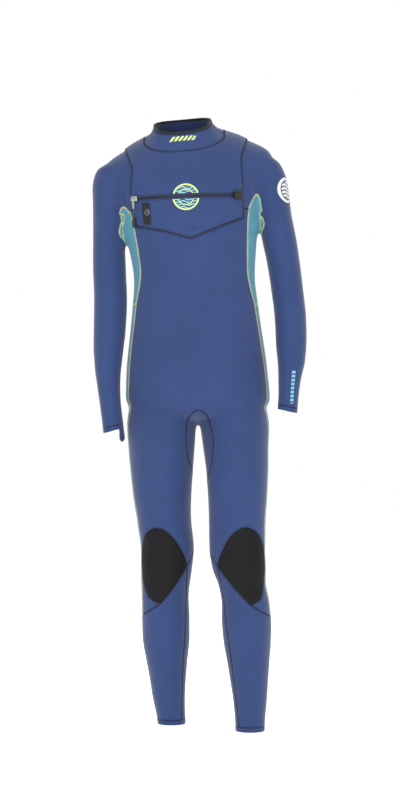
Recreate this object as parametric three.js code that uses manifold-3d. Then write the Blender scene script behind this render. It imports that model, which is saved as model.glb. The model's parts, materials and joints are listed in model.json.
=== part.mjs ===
// A child's chest-zip full wetsuit in the shape it has when worn: neoprene panels cut from one closed
// skin, an entry flap with the collar that hinges at the nape, and the zip hardware on the chest.
// Millimetres, +Z up, the front faces -Y, the wearer's right is -X.
// The origin is the centre of the neck opening, where a wearer or a form holds the suit up.
import * as THREE from "three";
import { mergeVertices } from "three/addons/utils/BufferGeometryUtils.js";
import Module from "manifold-3d";

const wasm = await Module();
wasm.setup();

// ---- Driving dimensions -------------------------------------------------------------------------
const WALL = 3; // neoprene thickness
const KERF = 0.3; // gap left between two sewn edges
const LAYER_GAP = 0.3; // gap between the suit and what lies on it
const TRUNK_SEGMENTS = 24;
const LEG_SEGMENTS = 16;
const ARM_SEGMENTS = 12;
const RIGHT = -1; // the wearer's right, at -X
const LEFT = 1;
const FAR = 400; // past every part of the suit

// Heights
const ANKLE_Z = -1120; // both ankle hems
const HEM = 9; // width of the hem bands
const WAIST_Z = -318; // seam between the side panel and the hip strip
const LUMBAR_Z = -330;
const SEAT_Z = -600; // seam under the seat
const SHOULDER_ROLL = 0.09; // the wearer's left shoulder is carried higher, as a slope

// Each body ring: z, x, y of its centre, half-width, half-depth, and for the trunk its slope in X and Y.
const TRUNK_RINGS = [
  [-556, 28, 4, 24, 36],
  [-548, 28, 4, 68, 62],
  [-530, 28, 6, 124, 85],
  [-500, 28, 7, 138, 94],
  [-440, 26, 6, 134.5, 95],
  [-386, 25, 2, 128, 89],
  [-329, 23.5, -2, 121, 82],
  [-272, 21.5, -4, 115.5, 80],
  [-215, 18.5, -3, 121, 85, 0.03],
  [-140, 13.5, 0, 135, 91, SHOULDER_ROLL],
  [-105, 12, 1, 138, 90, SHOULDER_ROLL],
  [-80, 10.5, 2, 150, 86, SHOULDER_ROLL, 0.06],
  [-58, 9, 3.5, 161, 80, SHOULDER_ROLL, 0.12],
  [-42, 8, 4.5, 159, 76, SHOULDER_ROLL, 0.18],
  [-18, 4.5, 5, 122, 70, SHOULDER_ROLL, 0.33],
  [-6, 3, 4, 97, 65, SHOULDER_ROLL, 0.38],
  [7, 1.5, 2, 67, 58, SHOULDER_ROLL, 0.4],
  [30, -2, -1, 51, 53, SHOULDER_ROLL, 0.35],
  [75, -4, -3, 48, 50, SHOULDER_ROLL, 0.3],
];
const LEG_RINGS = {
  [RIGHT]: [
    [-1135, -22, 24, 27.5, 33],
    [-1113, -23, 24, 27.5, 33],
    [-1030, -30, 21, 35.5, 43],
    [-954, -33, 17, 45.5, 51],
    [-875, -35, 8, 45.5, 52],
    [-823, -32, -2, 49, 54],
    [-785, -30, -5, 51, 56],
    [-735, -36, -4, 51.5, 59],
    [-680, -40, -2, 56, 65],
    [-595, -41.5, 3, 63, 76],
    [-545, -41.5, 5, 66, 79],
    [-520, -40, 5, 64, 72],
    [-485, -34, 6, 44, 50],
  ],
  [LEFT]: [
    [-1135, 126, -76, 28, 33],
    [-1113, 126, -76, 28, 33],
    [-1030, 124.5, -71, 35.5, 43],
    [-954, 121, -63, 45, 52],
    [-880, 118, -58, 45.5, 53],
    [-850, 112, -56, 45, 52],
    [-818, 106, -54, 51, 54],
    [-780, 102.5, -49, 53, 56],
    [-735, 102.5, -40, 53.5, 59],
    [-680, 103.5, -29, 56.5, 65],
    [-595, 100.5, -8, 62, 75],
    [-545, 98, 2, 66, 79],
    [-520, 96, 4, 64, 72],
    [-485, 90, 6, 44, 50],
  ],
};
const ARM_RINGS = {
  [RIGHT]: [
    [-580, -130, -27, 21.5, 26],
    [-548, -133, -25, 20.5, 26],
    [-481, -141, -15, 22, 28],
    [-405, -142.5, -1, 29, 34],
    [-367, -140.5, 5, 31, 36],
    [-196, -142, 9, 31, 39],
    [-158, -141.5, 7, 31.5, 42],
    [-85, -132, 4.5, 41, 43],
    [-62, -126, 4, 40, 37],
    [-50, -122, 4, 26, 24],
  ],
  [LEFT]: [
    [-545, 196, -47, 19.5, 25],
    [-522, 197, -44, 19.5, 25],
    [-462, 202, -29, 22, 28],
    [-386, 206, -5, 30, 35],
    [-348, 205, 3, 30.5, 36],
    [-234, 191, 9, 32, 38],
    [-190, 182.5, 8, 33.5, 40],
    [-150, 175, 7, 33, 43],
    [-76, 158, 4.5, 39, 43],
    [-46, 147, 4, 36, 36],
    [-34, 140, 4, 24, 23],
  ],
};

// Wrist hems are cut square to the forearm: centre height and slope of the cut in X.
const WRIST = {
  [RIGHT]: { z: -558, slope: 0.26 },
  [LEFT]: { z: -521, slope: -0.2 },
};

// ---- Materials -----------------------------------------------------------------------------------
const paint = (color, roughness, metalness = 0) =>
  new THREE.MeshStandardMaterial({ color, roughness, metalness });
const BLUE = paint(0x43588c, 0.85);
const TEAL = paint(0x5a9db3, 0.8);
const KNEE_BLACK = paint(0x222226, 0.75);
const TAPE_BLACK = paint(0x17171b, 0.8);
const PLASTIC = paint(0x1c1c1f, 0.45);
const SILVER = paint(0xc8c6c0, 0.3, 0.9);
const GUNMETAL = paint(0x4d4d50, 0.4, 0.7);
const NAVY = paint(0x1d2440, 0.8);
const PRINT = paint(0xd9e6a0, 0.6);
const WHITE = paint(0xe4e3e0, 0.55);

// ---- Solids --------------------------------------------------------------------------------------
const suit = new THREE.Group();

// A closed three.js geometry as a solid that can be joined and cut.
function solid(geometry) {
  const bare = geometry.index ? geometry.toNonIndexed() : geometry.clone();
  bare.deleteAttribute("normal");
  bare.deleteAttribute("uv");
  const merged = mergeVertices(bare, 1e-4);
  return new wasm.Manifold(
    new wasm.Mesh({
      numProp: 3,
      vertProperties: merged.attributes.position.array,
      triVerts: new Uint32Array(merged.index.array),
    }),
  );
}

// Adds a solid to the suit as one named piece.
function place(name, shape, material) {
  const { numProp, vertProperties, triVerts, numVert } = shape.getMesh();
  const positions = new Float32Array(numVert * 3);
  for (let i = 0; i < numVert; i++)
    positions.set(vertProperties.subarray(i * numProp, i * numProp + 3), i * 3);
  const geometry = new THREE.BufferGeometry();
  geometry.setAttribute("position", new THREE.BufferAttribute(positions, 3));
  geometry.setIndex(new THREE.BufferAttribute(triVerts, 1));
  const mesh = new THREE.Mesh(geometry, material);
  mesh.name = name;
  suit.add(mesh);
  return shape;
}

const join = (shapes) => wasm.Manifold.union(shapes);

// A box between two corners.
function box([x0, y0, z0], [x1, y1, z1]) {
  const geometry = new THREE.BoxGeometry(x1 - x0, y1 - y0, z1 - z0);
  return solid(geometry.translate((x0 + x1) / 2, (y0 + y1) / 2, (z0 + z1) / 2));
}

// The points of one body ring, moved outwards by nothing: an ellipse in a sloped plane.
function ringPoints([z, x, y, a, b, roll = 0, pitch = 0], segments) {
  return Array.from({ length: segments }, (_, i) => {
    const t = (2 * Math.PI * (i + 0.5)) / segments;
    const dx = a * Math.cos(t);
    const dy = b * Math.sin(t);
    return new THREE.Vector3(x + dx, y + dy, z + roll * dx + pitch * dy);
  });
}

// A closed tube through the rings, grown along its own normals by offset.
// Its first or last ring is pushed out along the tube when that end is open, so that it cuts through.
function tube(rings, segments, offset, { openBottom = false, openTop = false } = {}) {
  const grid = rings.map((ring) => ringPoints(ring, segments));
  const last = grid.length - 1;
  const around = (i) => (i + segments) % segments;
  const moved = grid.map((points, j) =>
    points.map((point, i) => {
      const along = grid[Math.min(j + 1, last)][i].clone().sub(grid[Math.max(j - 1, 0)][i]);
      const across = points[around(i + 1)].clone().sub(points[around(i - 1)]);
      return point.clone().addScaledVector(across.cross(along).normalize(), offset);
    }),
  );
  const shift = (points, dz) => points.forEach((p) => (p.z += dz));
  if (offset < 0) {
    shift(moved[0], openBottom ? offset : -offset);
    shift(moved[last], openTop ? -offset : offset);
  }
  const vertices = moved.flat();
  const bottom = vertices.length;
  const mean = (points) =>
    points.reduce((sum, p) => sum.add(p), new THREE.Vector3()).divideScalar(points.length);
  vertices.push(mean(moved[0]), mean(moved[last]));
  const faces = [];
  for (let i = 0; i < segments; i++) {
    const next = around(i + 1);
    for (let j = 0; j < last; j++) {
      const p = j * segments;
      const q = p + segments;
      faces.push(p + i, p + next, q + next, p + i, q + next, q + i);
    }
    faces.push(bottom, next, i, bottom + 1, last * segments + i, last * segments + next);
  }
  const geometry = new THREE.BufferGeometry().setFromPoints(vertices);
  geometry.setIndex(faces);
  return solid(geometry);
}

// The whole body, grown by offset: trunk, legs and arms joined.
function body(offset) {
  const limbs = [RIGHT, LEFT].flatMap((side) => [
    tube(LEG_RINGS[side], LEG_SEGMENTS, offset, { openBottom: true }),
    tube(ARM_RINGS[side], ARM_SEGMENTS, offset, { openBottom: true }),
  ]);
  const trunk = tube(TRUNK_RINGS, TRUNK_SEGMENTS, offset, { openTop: true });
  return join([trunk, ...limbs]);
}

// Centre and half-sizes of a limb at a height.
function ringAt(rings, z) {
  const sorted = [...rings].sort((p, q) => p[0] - q[0]);
  const above = Math.max(1, sorted.findIndex((ring) => ring[0] >= z));
  const [low, high] = [sorted[above - 1], sorted[above]];
  const t = (z - low[0]) / (high[0] - low[0]);
  const [, x, y, a, b] = low.map((value, i) => value + (high[i] - value) * t);
  return { x, y, a, b };
}

// ---- Blades: thin sheets that cut the skin along its seams -----------------------------------------
const FRONT_VIEW = new THREE.Matrix4().makeBasis(
  new THREE.Vector3(1, 0, 0),
  new THREE.Vector3(0, 0, 1),
  new THREE.Vector3(0, -1, 0),
);
const SIDE_VIEW = new THREE.Matrix4().makeBasis(
  new THREE.Vector3(0, 1, 0),
  new THREE.Vector3(0, 0, 1),
  new THREE.Vector3(1, 0, 0),
);

// Points along a smooth curve through the given ones.
function smooth(points, divisions) {
  const curve = new THREE.SplineCurve(points.map(([u, v]) => new THREE.Vector2(u, v)));
  return curve.getPoints(divisions);
}

// A ribbon of the kerf's width along a smooth curve; its ends run on a little, into the next seam.
function ribbon(points, divisions = 3 * (points.length - 1)) {
  const RUN_ON = 0.8;
  const line = smooth(points, divisions);
  const extend = (end, before) =>
    end.add(end.clone().sub(before).normalize().multiplyScalar(RUN_ON));
  extend(line[0], line[1]);
  extend(line[line.length - 1], line[line.length - 2]);
  const sideOf = (i) => {
    const next = line[Math.min(i + 1, line.length - 1)];
    const direction = next.clone().sub(line[Math.max(i - 1, 0)]).normalize();
    return new THREE.Vector2(-direction.y, direction.x).multiplyScalar(KERF / 2);
  };
  const left = line.map((point, i) => point.clone().add(sideOf(i)));
  const right = line.map((point, i) => point.clone().sub(sideOf(i)));
  return new THREE.Shape([...left, ...right.reverse()]);
}

// Extrudes a front-view outline (x, z) from y0 to y1.
function throughY(shape, y0, y1) {
  const geometry = new THREE.ExtrudeGeometry(shape, { depth: y1 - y0, bevelEnabled: false });
  return solid(geometry.applyMatrix4(FRONT_VIEW).translate(0, y1, 0));
}

// Extrudes a side-view outline (y, z) from x0 to x1.
function throughX(shape, x0, x1) {
  const geometry = new THREE.ExtrudeGeometry(shape, { depth: x1 - x0, bevelEnabled: false });
  return solid(geometry.applyMatrix4(SIDE_VIEW).translate(x0, 0, 0));
}

const outline = (points) => new THREE.Shape(points.map(([u, v]) => new THREE.Vector2(u, v)));

// Cuts a solid with blades and returns its loose pieces, without crumbs.
function cut(shape, blades) {
  const CRUMB = 300; // mm3
  return shape
    .subtract(join(blades))
    .decompose()
    .filter((piece) => piece.volume() > CRUMB);
}

// The piece that lies nearest to a point.
function pick(pieces, [x, y, z]) {
  const distance = (piece) => {
    const { numProp, vertProperties, numVert } = piece.getMesh();
    let best = Infinity;
    for (let i = 0; i < numVert; i++) {
      const [px, py, pz] = vertProperties.subarray(i * numProp, i * numProp + 3);
      best = Math.min(best, Math.hypot(px - x, py - y, pz - z));
    }
    return best;
  };
  const ranked = pieces.map((piece) => [distance(piece), piece]).sort((p, q) => p[0] - q[0]);
  const [, found] = ranked[0];
  pieces.splice(pieces.indexOf(found), 1);
  return found;
}

// A solid on one side of a plane through a point, cut off on the side the normal points to.
const halfSpace = (shape, normal, point) => {
  const n = new THREE.Vector3(...normal).normalize();
  const offset = n.dot(new THREE.Vector3(...point));
  return shape.trimByPlane(n.toArray(), offset);
};

// ---- Collar seam and rim ---------------------------------------------------------------------------
// Both are drawn in the side view (y, z) and slope with the shoulders.
const COLLAR_BASE = [[-110, -52], [-66, -33], [-35, -14], [0, 5], [35, 14], [66, 18], [110, 22]];
const COLLAR_RIM = [[-110, -20], [-55, 5], [-30, 15], [0, 29], [30, 37], [55, 41], [110, 45]];
const BINDING = 3.5; // width of the bound edge of the collar
const ROLLED = new THREE.Matrix4().set(1, 0, 0, 0, 0, 1, 0, 0, SHOULDER_ROLL, 0, 1, 0, 0, 0, 0, 1);

// Everything above a side-view line, lifted by lift.
function aboveLine(points, lift) {
  const top = [[110, FAR / 2], [-110, FAR / 2]];
  const line = smooth(points.map(([y, z]) => [y, z + lift]), 2 * points.length);
  const shape = new THREE.Shape([...line, ...top.map(([u, v]) => new THREE.Vector2(u, v))]);
  const geometry = new THREE.ExtrudeGeometry(shape, { depth: 260, bevelEnabled: false });
  return solid(geometry.applyMatrix4(SIDE_VIEW).translate(-130, 0, 0).applyMatrix4(ROLLED));
}

// ---- Chest zip line -------------------------------------------------------------------------------
const ZIP_Z = -118.7; // height of the zip at x = 0
const ZIP_SLOPE = 0.035;
const ZIP_RIGHT_X = -98; // ends of the zip
const ZIP_LEFT_X = 110;
const ZIP_GAP = 10.2; // between the flap and the lower panel
const zipZ = (x) => ZIP_Z + ZIP_SLOPE * x;
const V_SEAM = [[-84, -173], [-35.5, -182], [14.6, -196], [60.4, -177], [111, -156]];

// ---- The skin and its panels -----------------------------------------------------------------------
let skin = body(0).subtract(body(-WALL));
skin = halfSpace(skin, [0, 0, 1], [0, 0, ANKLE_Z]).subtract(aboveLine(COLLAR_BASE, -KERF));
const ARMPIT_X = { [RIGHT]: -111.5, [LEFT]: 144.5 };
for (const side of [RIGHT, LEFT]) {
  const { z, slope } = WRIST[side];
  const { x, y } = ringAt(ARM_RINGS[side], z);
  const reach = 30;
  const beyond = outline([
    [x - reach, z - slope * reach - 60],
    [x + reach, z + slope * reach - 60],
    [x + reach, z + slope * reach],
    [x - reach, z - slope * reach],
  ]);
  const armTip = tube(ARM_RINGS[side].slice(0, 5), ARM_SEGMENTS, 1);
  skin = skin.subtract(throughY(beyond, y - 60, y + 60).intersect(armTip));
}

// Raglan seams part the sleeves from the trunk: from the armpit up to the neck, front and back.
const ARMPIT_Z = { [RIGHT]: -178, [LEFT]: -162 };
const GAP_BELOW_ARMPIT = { [RIGHT]: [-105.5, -215], [LEFT]: [146, -202] };
const JOG_Z = { [RIGHT]: -146, [LEFT]: -140 }; // top of the front body beside the flap
const YOKE_X = 92; // the sleeve's front runs in under the flap to here
function raglanBlades(side) {
  const ax = ARMPIT_X[side];
  const az = ARMPIT_Z[side];
  const under = [ax, JOG_Z[side] - 3];
  const turn = [ax, JOG_Z[side]];
  const corner = [side * YOKE_X, JOG_Z[side] + 1];
  const top = [side * 84, -42];
  return [
    throughY(ribbon([GAP_BELOW_ARMPIT[side], [ax, az], under]), -FAR, FAR),
    throughY(ribbon([under, turn], 1), -FAR, 4),
    throughY(ribbon([turn, corner], 1), -FAR, 4),
    throughY(ribbon([corner, [side * 93, -80], top]), -FAR, 4),
    throughY(ribbon([under, [ax, -110], top]), 3, FAR),
    throughY(ribbon([top, [side * 45, 40]], 1), -FAR, FAR),
  ];
}
const bodies = cut(skin, [...raglanBlades(RIGHT), ...raglanBlades(LEFT)]);
const sleeves = {
  [RIGHT]: pick(bodies, [-172, 10, -250]),
  [LEFT]: pick(bodies, [222, 10, -250]),
};
const trunkAndLegs = pick(bodies, [20, -85, -450]);

const SIDE_NAME = { [RIGHT]: "right", [LEFT]: "left" };
const legRing = (side, z) => ringAt(LEG_RINGS[side], z);
const KNEE_Z = { [RIGHT]: -814, [LEFT]: -811 };

// A point of a leg in the front view: u runs from -1 on its inner edge to 1 on its outer edge.
function legPoint(side, [u, dz]) {
  const z = KNEE_Z[side] + dz;
  const { x, a } = legRing(side, z);
  return [x + side * u * a, z];
}

// Teal side panel and hip strip: half-width of the border at each height.
const SIDE_BORDER = [[-60, 50], [-160, 50], [-215, 46], [-258, 42], [-290, 36], [WAIST_Z, 30]];
const STRIP_BORDER = [
  [WAIST_Z, 30], [-353, 27], [-400, 23], [-500, 20], [-600, 17], [-760, 16], [-930, 16],
];
const stripY = (side, z) => {
  const t = THREE.MathUtils.smoothstep(-z, 470, 560);
  return THREE.MathUtils.lerp(0, legRing(side, Math.min(z, -500)).y, t);
};

function sideBlades(side) {
  const [x0, x1] = side === RIGHT ? [-FAR, -52] : [88, FAR];
  const borders = [SIDE_BORDER, STRIP_BORDER].flatMap((border) =>
    [-1, 1].map((face) => ribbon(border.map(([z, half]) => [stripY(side, z) + face * half, z]))),
  );
  const cross = box([x0, -31, WAIST_Z - KERF / 2], [x1, 31, WAIST_Z + KERF / 2]);
  return [...borders.map((shape) => throughX(shape, x0, x1)), cross];
}

// Knee pad outline, the seams that meet it, and the seams of the lower leg.
const PAD_ARCH = [
  [-0.8, 0], [-0.5, 34], [-0.15, 62], [0.24, 73], [0.64, 64], [0.88, 40], [0.93, 0],
  [0.83, -42], [0.6, -62], [0.17, -71],
];
const PAD_LOWER = [[0.17, -71], [-0.2, -50], [-0.52, -27], [-0.8, 0]];
const CALF_SEAM = [[-0.8, 0], [-0.88, -60], [-0.8, -132], [-0.79, -204]];
const KNEE_INNER = [[-0.8, 0], [-0.88, 13]];
const KNEE_INNER_EDGE = [[-0.88, 13], [-1.25, 54]];
const KNEE_OUTER = [[0.17, -71], [0.5, -81], [0.88, -93]];
const KNEE_OUTER_EDGE = [[0.88, -93], [1.3, -107]];
const KNEE_BACK = [[-0.88, 13], [0, -30], [0.88, -93]];

function legBlades(side) {
  const knee = legRing(side, KNEE_Z[side]);
  const ankle = legRing(side, ANKLE_Z);
  const drawn = (points, y0, y1) =>
    throughY(ribbon(points.map((p) => legPoint(side, p))), y0, y1);
  const front = [PAD_ARCH, PAD_LOWER, KNEE_INNER, KNEE_OUTER].map((points) =>
    drawn(points, -FAR, knee.y + 1),
  );
  const edges = [KNEE_INNER_EDGE, KNEE_OUTER_EDGE].map((points) => drawn(points, -FAR, FAR));
  const back = drawn(KNEE_BACK, knee.y, FAR);
  const hemZ = ANKLE_Z + HEM;
  const calfLine = [...CALF_SEAM, [-0.74, hemZ - KNEE_Z[side]]];
  const calf = drawn(calfLine, -FAR, (knee.y + ankle.y) / 2);
  const down = (heights, dy) => ribbon(heights.map((z) => [legRing(side, z).y + dy, z]));
  const inseam = down([-620, -660, -700, -740, KNEE_Z[side] + 13], 0);
  const outseam = down([-900, -960, -1020, -1080, hemZ], 14);
  const inner = side === RIGHT ? [knee.x + 8, 30] : [35, knee.x - 8];
  const outer = side === RIGHT ? [-FAR, -33] : [121, FAR];
  const [x0, x1] = side === RIGHT ? [-FAR, 30] : [30, FAR];
  return [
    ...front,
    ...edges,
    back,
    calf,
    throughX(inseam, ...inner),
    throughX(outseam, ...outer),
    box([x0, -FAR, hemZ - KERF / 2], [x1, FAR, hemZ + KERF / 2]),
  ];
}

// The crotch gusset arches over both inner thighs, front and back alike.
const GUSSET = [
  [24, -664], [18, -640], [8, -606], [4, -573], [7, -545], [18, -525], [28, -518],
  [39, -524], [51, -546], [58, -576], [55, -612], [48, -645], [41, -667],
];

const bibBottom = ribbon([[-YOKE_X, JOG_Z[RIGHT] + 1], [0, -158], [YOKE_X, JOG_Z[LEFT] + 1]]);
const seatSeams = [
  [[-150, SEAT_Z], [-60, SEAT_Z - 14], [7, SEAT_Z]],
  [[56, SEAT_Z], [115, SEAT_Z - 14], [200, SEAT_Z]],
].map((points) => throughY(ribbon(points), 2, FAR));
const panels = cut(trunkAndLegs, [
  ...[RIGHT, LEFT].flatMap((side) => [...sideBlades(side), ...legBlades(side)]),
  throughY(ribbon(GUSSET), -FAR, FAR),
  throughY(bibBottom, -FAR, -20),
  box([-FAR, 28.5, LUMBAR_Z - KERF / 2], [FAR, FAR, LUMBAR_Z + KERF / 2]),
  ...seatSeams,
]);

place("inner_bib", pick(panels, [0, -88, -100]), NAVY);
place("front_body_panel", pick(panels, [20, -85, -400]), BLUE);
place("back_panel", pick(panels, [10, 85, -200]), BLUE);
place("seat_panel", pick(panels, [20, 100, -450]), BLUE);
place("crotch_gusset", pick(panels, [28, 0, -555]), BLUE);
for (const side of [RIGHT, LEFT]) {
  const name = SIDE_NAME[side];
  const knee = legRing(side, KNEE_Z[side]);
  const shin = legRing(side, -1000);
  const ankle = legRing(side, ANKLE_Z);
  const thigh = legRing(side, -700);
  const hip = ringAt(TRUNK_RINGS, -400);
  const chest = ringAt(TRUNK_RINGS, -220);
  place(`side_panel_${name}`, pick(panels, [chest.x + side * chest.a, 0, -220]), TEAL);
  place(`hip_strip_${name}`, pick(panels, [hip.x + side * hip.a, 0, -400]), TEAL);
  place(`knee_pad_${name}`, pick(panels, [knee.x, knee.y - knee.b, KNEE_Z[side]]), KNEE_BLACK);
  place(`rear_thigh_${name}`, pick(panels, [thigh.x, thigh.y + thigh.b, -700]), BLUE);
  place(`shin_panel_${name}`, pick(panels, [shin.x, shin.y - shin.b, -1000]), BLUE);
  place(`calf_panel_${name}`, pick(panels, [shin.x, shin.y + shin.b, -1000]), BLUE);
  place(`ankle_hem_${name}`, pick(panels, [ankle.x, ankle.y - ankle.b, ANKLE_Z]), BLUE);
}

// ---- Sleeves: hem and underarm gusset ---------------------------------------------------------------
for (const side of [RIGHT, LEFT]) {
  const name = SIDE_NAME[side];
  const { z, slope } = WRIST[side];
  const wrist = ringAt(ARM_RINGS[side], z);
  const reach = 40;
  const hemLine = ribbon([
    [wrist.x - reach, z + HEM - slope * reach],
    [wrist.x + reach, z + HEM + slope * reach],
  ], 1);
  const ax = ARMPIT_X[side];
  const az = ARMPIT_Z[side];
  const upper = ringAt(ARM_RINGS[side], az - 25);
  const top = JOG_Z[side];
  const gusset = ribbon([
    [ax - side * 0.5, top + 1],
    [ax + side * 7, top - 14],
    [ax + side * 9, az - 8],
    [GAP_BELOW_ARMPIT[side][0], az - 34],
  ]);
  const pieces = cut(sleeves[side], [throughY(hemLine, -FAR, FAR), throughY(gusset, -FAR, FAR)]);
  place(`wrist_hem_${name}`, pick(pieces, [wrist.x, wrist.y, z]), BLUE);
  place(`underarm_gusset_${name}`, pick(pieces, [ax, 5, az - 8]), TEAL);
  place(`sleeve_${name}`, pick(pieces, [upper.x + side * 30, 10, -250]), BLUE);
}

// ---- The chest layer: entry flap, collar and lower zip panel ------------------------------------------
const OUTER = WALL + LAYER_GAP;
const overlay = body(OUTER).subtract(body(LAYER_GAP));
const bound = (x) => [x, zipZ(x)];
const up = ([x, z]) => [x, z + ZIP_GAP / 2];
const down = ([x, z]) => [x, z - ZIP_GAP / 2];
const flapFront = outline([
  up(bound(ZIP_RIGHT_X)), up(bound(0)), up(bound(ZIP_LEFT_X)),
  [110, -85], [108, -42], [121, -2], [121, 70],
  [-109, 70], [-109, -23], [-103, -40], [-94, -66], [-96, -99],
]);
const flapRear = new THREE.Shape(
  smooth([[121, 8], [84, 36], [45, 54], [0, 61.5], [-42, 53], [-80, 34], [-109, 8]], 24),
);
const rearGeometry = new THREE.ExtrudeGeometry(flapRear, { depth: 160, bevelEnabled: false });
const collarZone = aboveLine(COLLAR_BASE, KERF);
const flap = overlay
  .intersect(join([throughY(flapFront, -FAR, 8.01), solid(rearGeometry.translate(0, 0, -80))]))
  .subtract(aboveLine(COLLAR_BASE, 0));
const lowerTop = [ZIP_LEFT_X, 0, ZIP_RIGHT_X].map((x) => down(bound(x)));
const lower = overlay.intersect(throughY(outline([...V_SEAM, ...lowerTop]), -FAR, 0));
place("chest_flap_panel", pick(flap.decompose(), [0, -95, -80]), BLUE);

const collarBand = overlay.intersect(collarZone).subtract(aboveLine(COLLAR_RIM, -BINDING));
const binding = overlay
  .intersect(aboveLine(COLLAR_RIM, KERF - BINDING))
  .subtract(aboveLine(COLLAR_RIM, 0));
const collarSeams = [throughX(ribbon([[-6, -40], [-10, 60]]), -FAR, FAR)];
const collar = cut(collarBand, collarSeams);
place("collar_front", pick(collar, [0, -66, -15]), BLUE);
place("collar_back", pick(collar, [0, 66, 25]), BLUE);
place("collar_binding", pick(binding.decompose(), [0, -55, 4]), TAPE_BLACK);

// ---- Zip: one arc across the chest -------------------------------------------------------------------
// The zip frame sits at the zip's height and leans with the zip; in it an arc about ZIP_ARC follows
// the chest. Its places are x, then y measured inwards from the arc, then z across the zip.
const ZIP_ARC = { x: 12.5, y: 98, radius: 188.3 };
const zipFrame = new THREE.Matrix4()
  .makeTranslation(0, 0, ZIP_Z)
  .multiply(new THREE.Matrix4().makeRotationY(-Math.atan(ZIP_SLOPE)));
const arcAngle = (x) => Math.asin((x - ZIP_ARC.x) / ZIP_ARC.radius);

// A strip along the arc from x0 to x1, standing from lift r0 to r1 off it, between z0 and z1.
function arcStrip([x0, x1], [r0, r1], [z0, z1]) {
  const [start, end] = [arcAngle(x0) - Math.PI / 2, arcAngle(x1) - Math.PI / 2];
  const shape = new THREE.Shape();
  shape.absarc(ZIP_ARC.x, ZIP_ARC.y, ZIP_ARC.radius + r1, start, end);
  shape.absarc(ZIP_ARC.x, ZIP_ARC.y, ZIP_ARC.radius + r0, end, start, true);
  const settings = { depth: z1 - z0, bevelEnabled: false, curveSegments: 14 };
  const geometry = new THREE.ExtrudeGeometry(shape, settings);
  return solid(geometry.translate(0, 0, z0).applyMatrix4(zipFrame));
}

// The frame of a place on the arc: X along the zip, -Y outwards, Z across the zip.
const arcFrame = (x) =>
  zipFrame
    .clone()
    .multiply(new THREE.Matrix4().makeTranslation(ZIP_ARC.x, ZIP_ARC.y, 0))
    .multiply(new THREE.Matrix4().makeRotationZ(arcAngle(x)))
    .multiply(new THREE.Matrix4().makeTranslation(0, -ZIP_ARC.radius, 0));

// A flat outline in (x, z), from y0 to y1, at a place on the arc.
function arcPlate(x, points, y0, y1) {
  const settings = { depth: y1 - y0, bevelEnabled: false };
  const geometry = new THREE.ExtrudeGeometry(outline(points), settings);
  return solid(geometry.applyMatrix4(FRONT_VIEW).translate(0, y1, 0).applyMatrix4(arcFrame(x)));
}

const rectangle = (x0, z0, x1, z1) => [[x0, z0], [x1, z0], [x1, z1], [x0, z1]];

// A pin lying along the zip at a place on the arc.
function arcPin(x, radius, length, y, z, sides = 12) {
  const geometry = new THREE.CylinderGeometry(radius, radius, length, sides).rotateZ(Math.PI / 2);
  return solid(geometry.translate(0, y, z).applyMatrix4(arcFrame(x)));
}

const TAPE = [1.2, 2.2]; // lift of the tapes off the arc
const CHAIN = [2.5, 4.2];
const TAPE_EDGE = ZIP_GAP / 2 - KERF;
const CHAIN_HALF = 2.4;
const ZIP_RUN = [ZIP_RIGHT_X, 91]; // the clasp takes the rest
const SLIDER_X = -89; // the zip is shut with the slider here
const SLIDER_LENGTH = 14;
place("zip_tape_lower", arcStrip(ZIP_RUN, TAPE, [-TAPE_EDGE, -0.5]), TAPE_BLACK);
place("zip_tape_upper", arcStrip(ZIP_RUN, TAPE, [0.5, TAPE_EDGE]), TAPE_BLACK);
place("zip_chain_lower", arcStrip(ZIP_RUN, CHAIN, [-CHAIN_HALF, -KERF / 2]), PLASTIC);
const chainStart = SLIDER_X + SLIDER_LENGTH / 2 + 1;
const SLIDER_OPEN_X = 79; // the slider leaves the upper chain here
const chainEnd = SLIDER_OPEN_X - SLIDER_LENGTH / 2 - 1;
place("zip_chain_upper", arcStrip([chainStart, chainEnd], CHAIN, [KERF / 2, CHAIN_HALF]), PLASTIC);

// Slider: a plate over the chain with a flange each side, and a bridge that carries the pull's pin.
const SLIDER_HALF = SLIDER_LENGTH / 2;
const PIN = { radius: 0.7, y: -8.6, z: -1.5 };
const EAR = { inner: 3.4, half: 0.7 }; // inner side and half-thickness of the ears
const ear = (side) => {
  const x = side * (EAR.inner + EAR.half);
  const sketch = rectangle(x - EAR.half, PIN.z - 1.5, x + EAR.half, PIN.z + 2.5);
  return arcPlate(SLIDER_X, sketch, -9.8, -6.2);
};
const FLANGE = { z: 3.6, half: 0.8 };
const flange = (side) => {
  const z = side * FLANGE.z;
  const sketch = rectangle(-SLIDER_HALF, z - FLANGE.half, SLIDER_HALF, z + FLANGE.half);
  return arcPlate(SLIDER_X, sketch, -5, -2.7);
};
const plateOutline = [
  [-SLIDER_HALF, -3.6], [-4, -5.2], [4, -4.8], [SLIDER_HALF, -4.4],
  [SLIDER_HALF, 4.4], [4, 4.8], [-4, 5.2], [-SLIDER_HALF, 3.6],
];
const sliderPlate = arcPlate(SLIDER_X, plateOutline, -6.3, -4.7);
const sliderPin = arcPin(SLIDER_X, PIN.radius, 2 * EAR.inner + 2, PIN.y, PIN.z);
const sliderParts = [sliderPlate, flange(1), flange(-1), ear(1), ear(-1), sliderPin];
place("zip_slider_body", join(sliderParts), SILVER);

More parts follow.
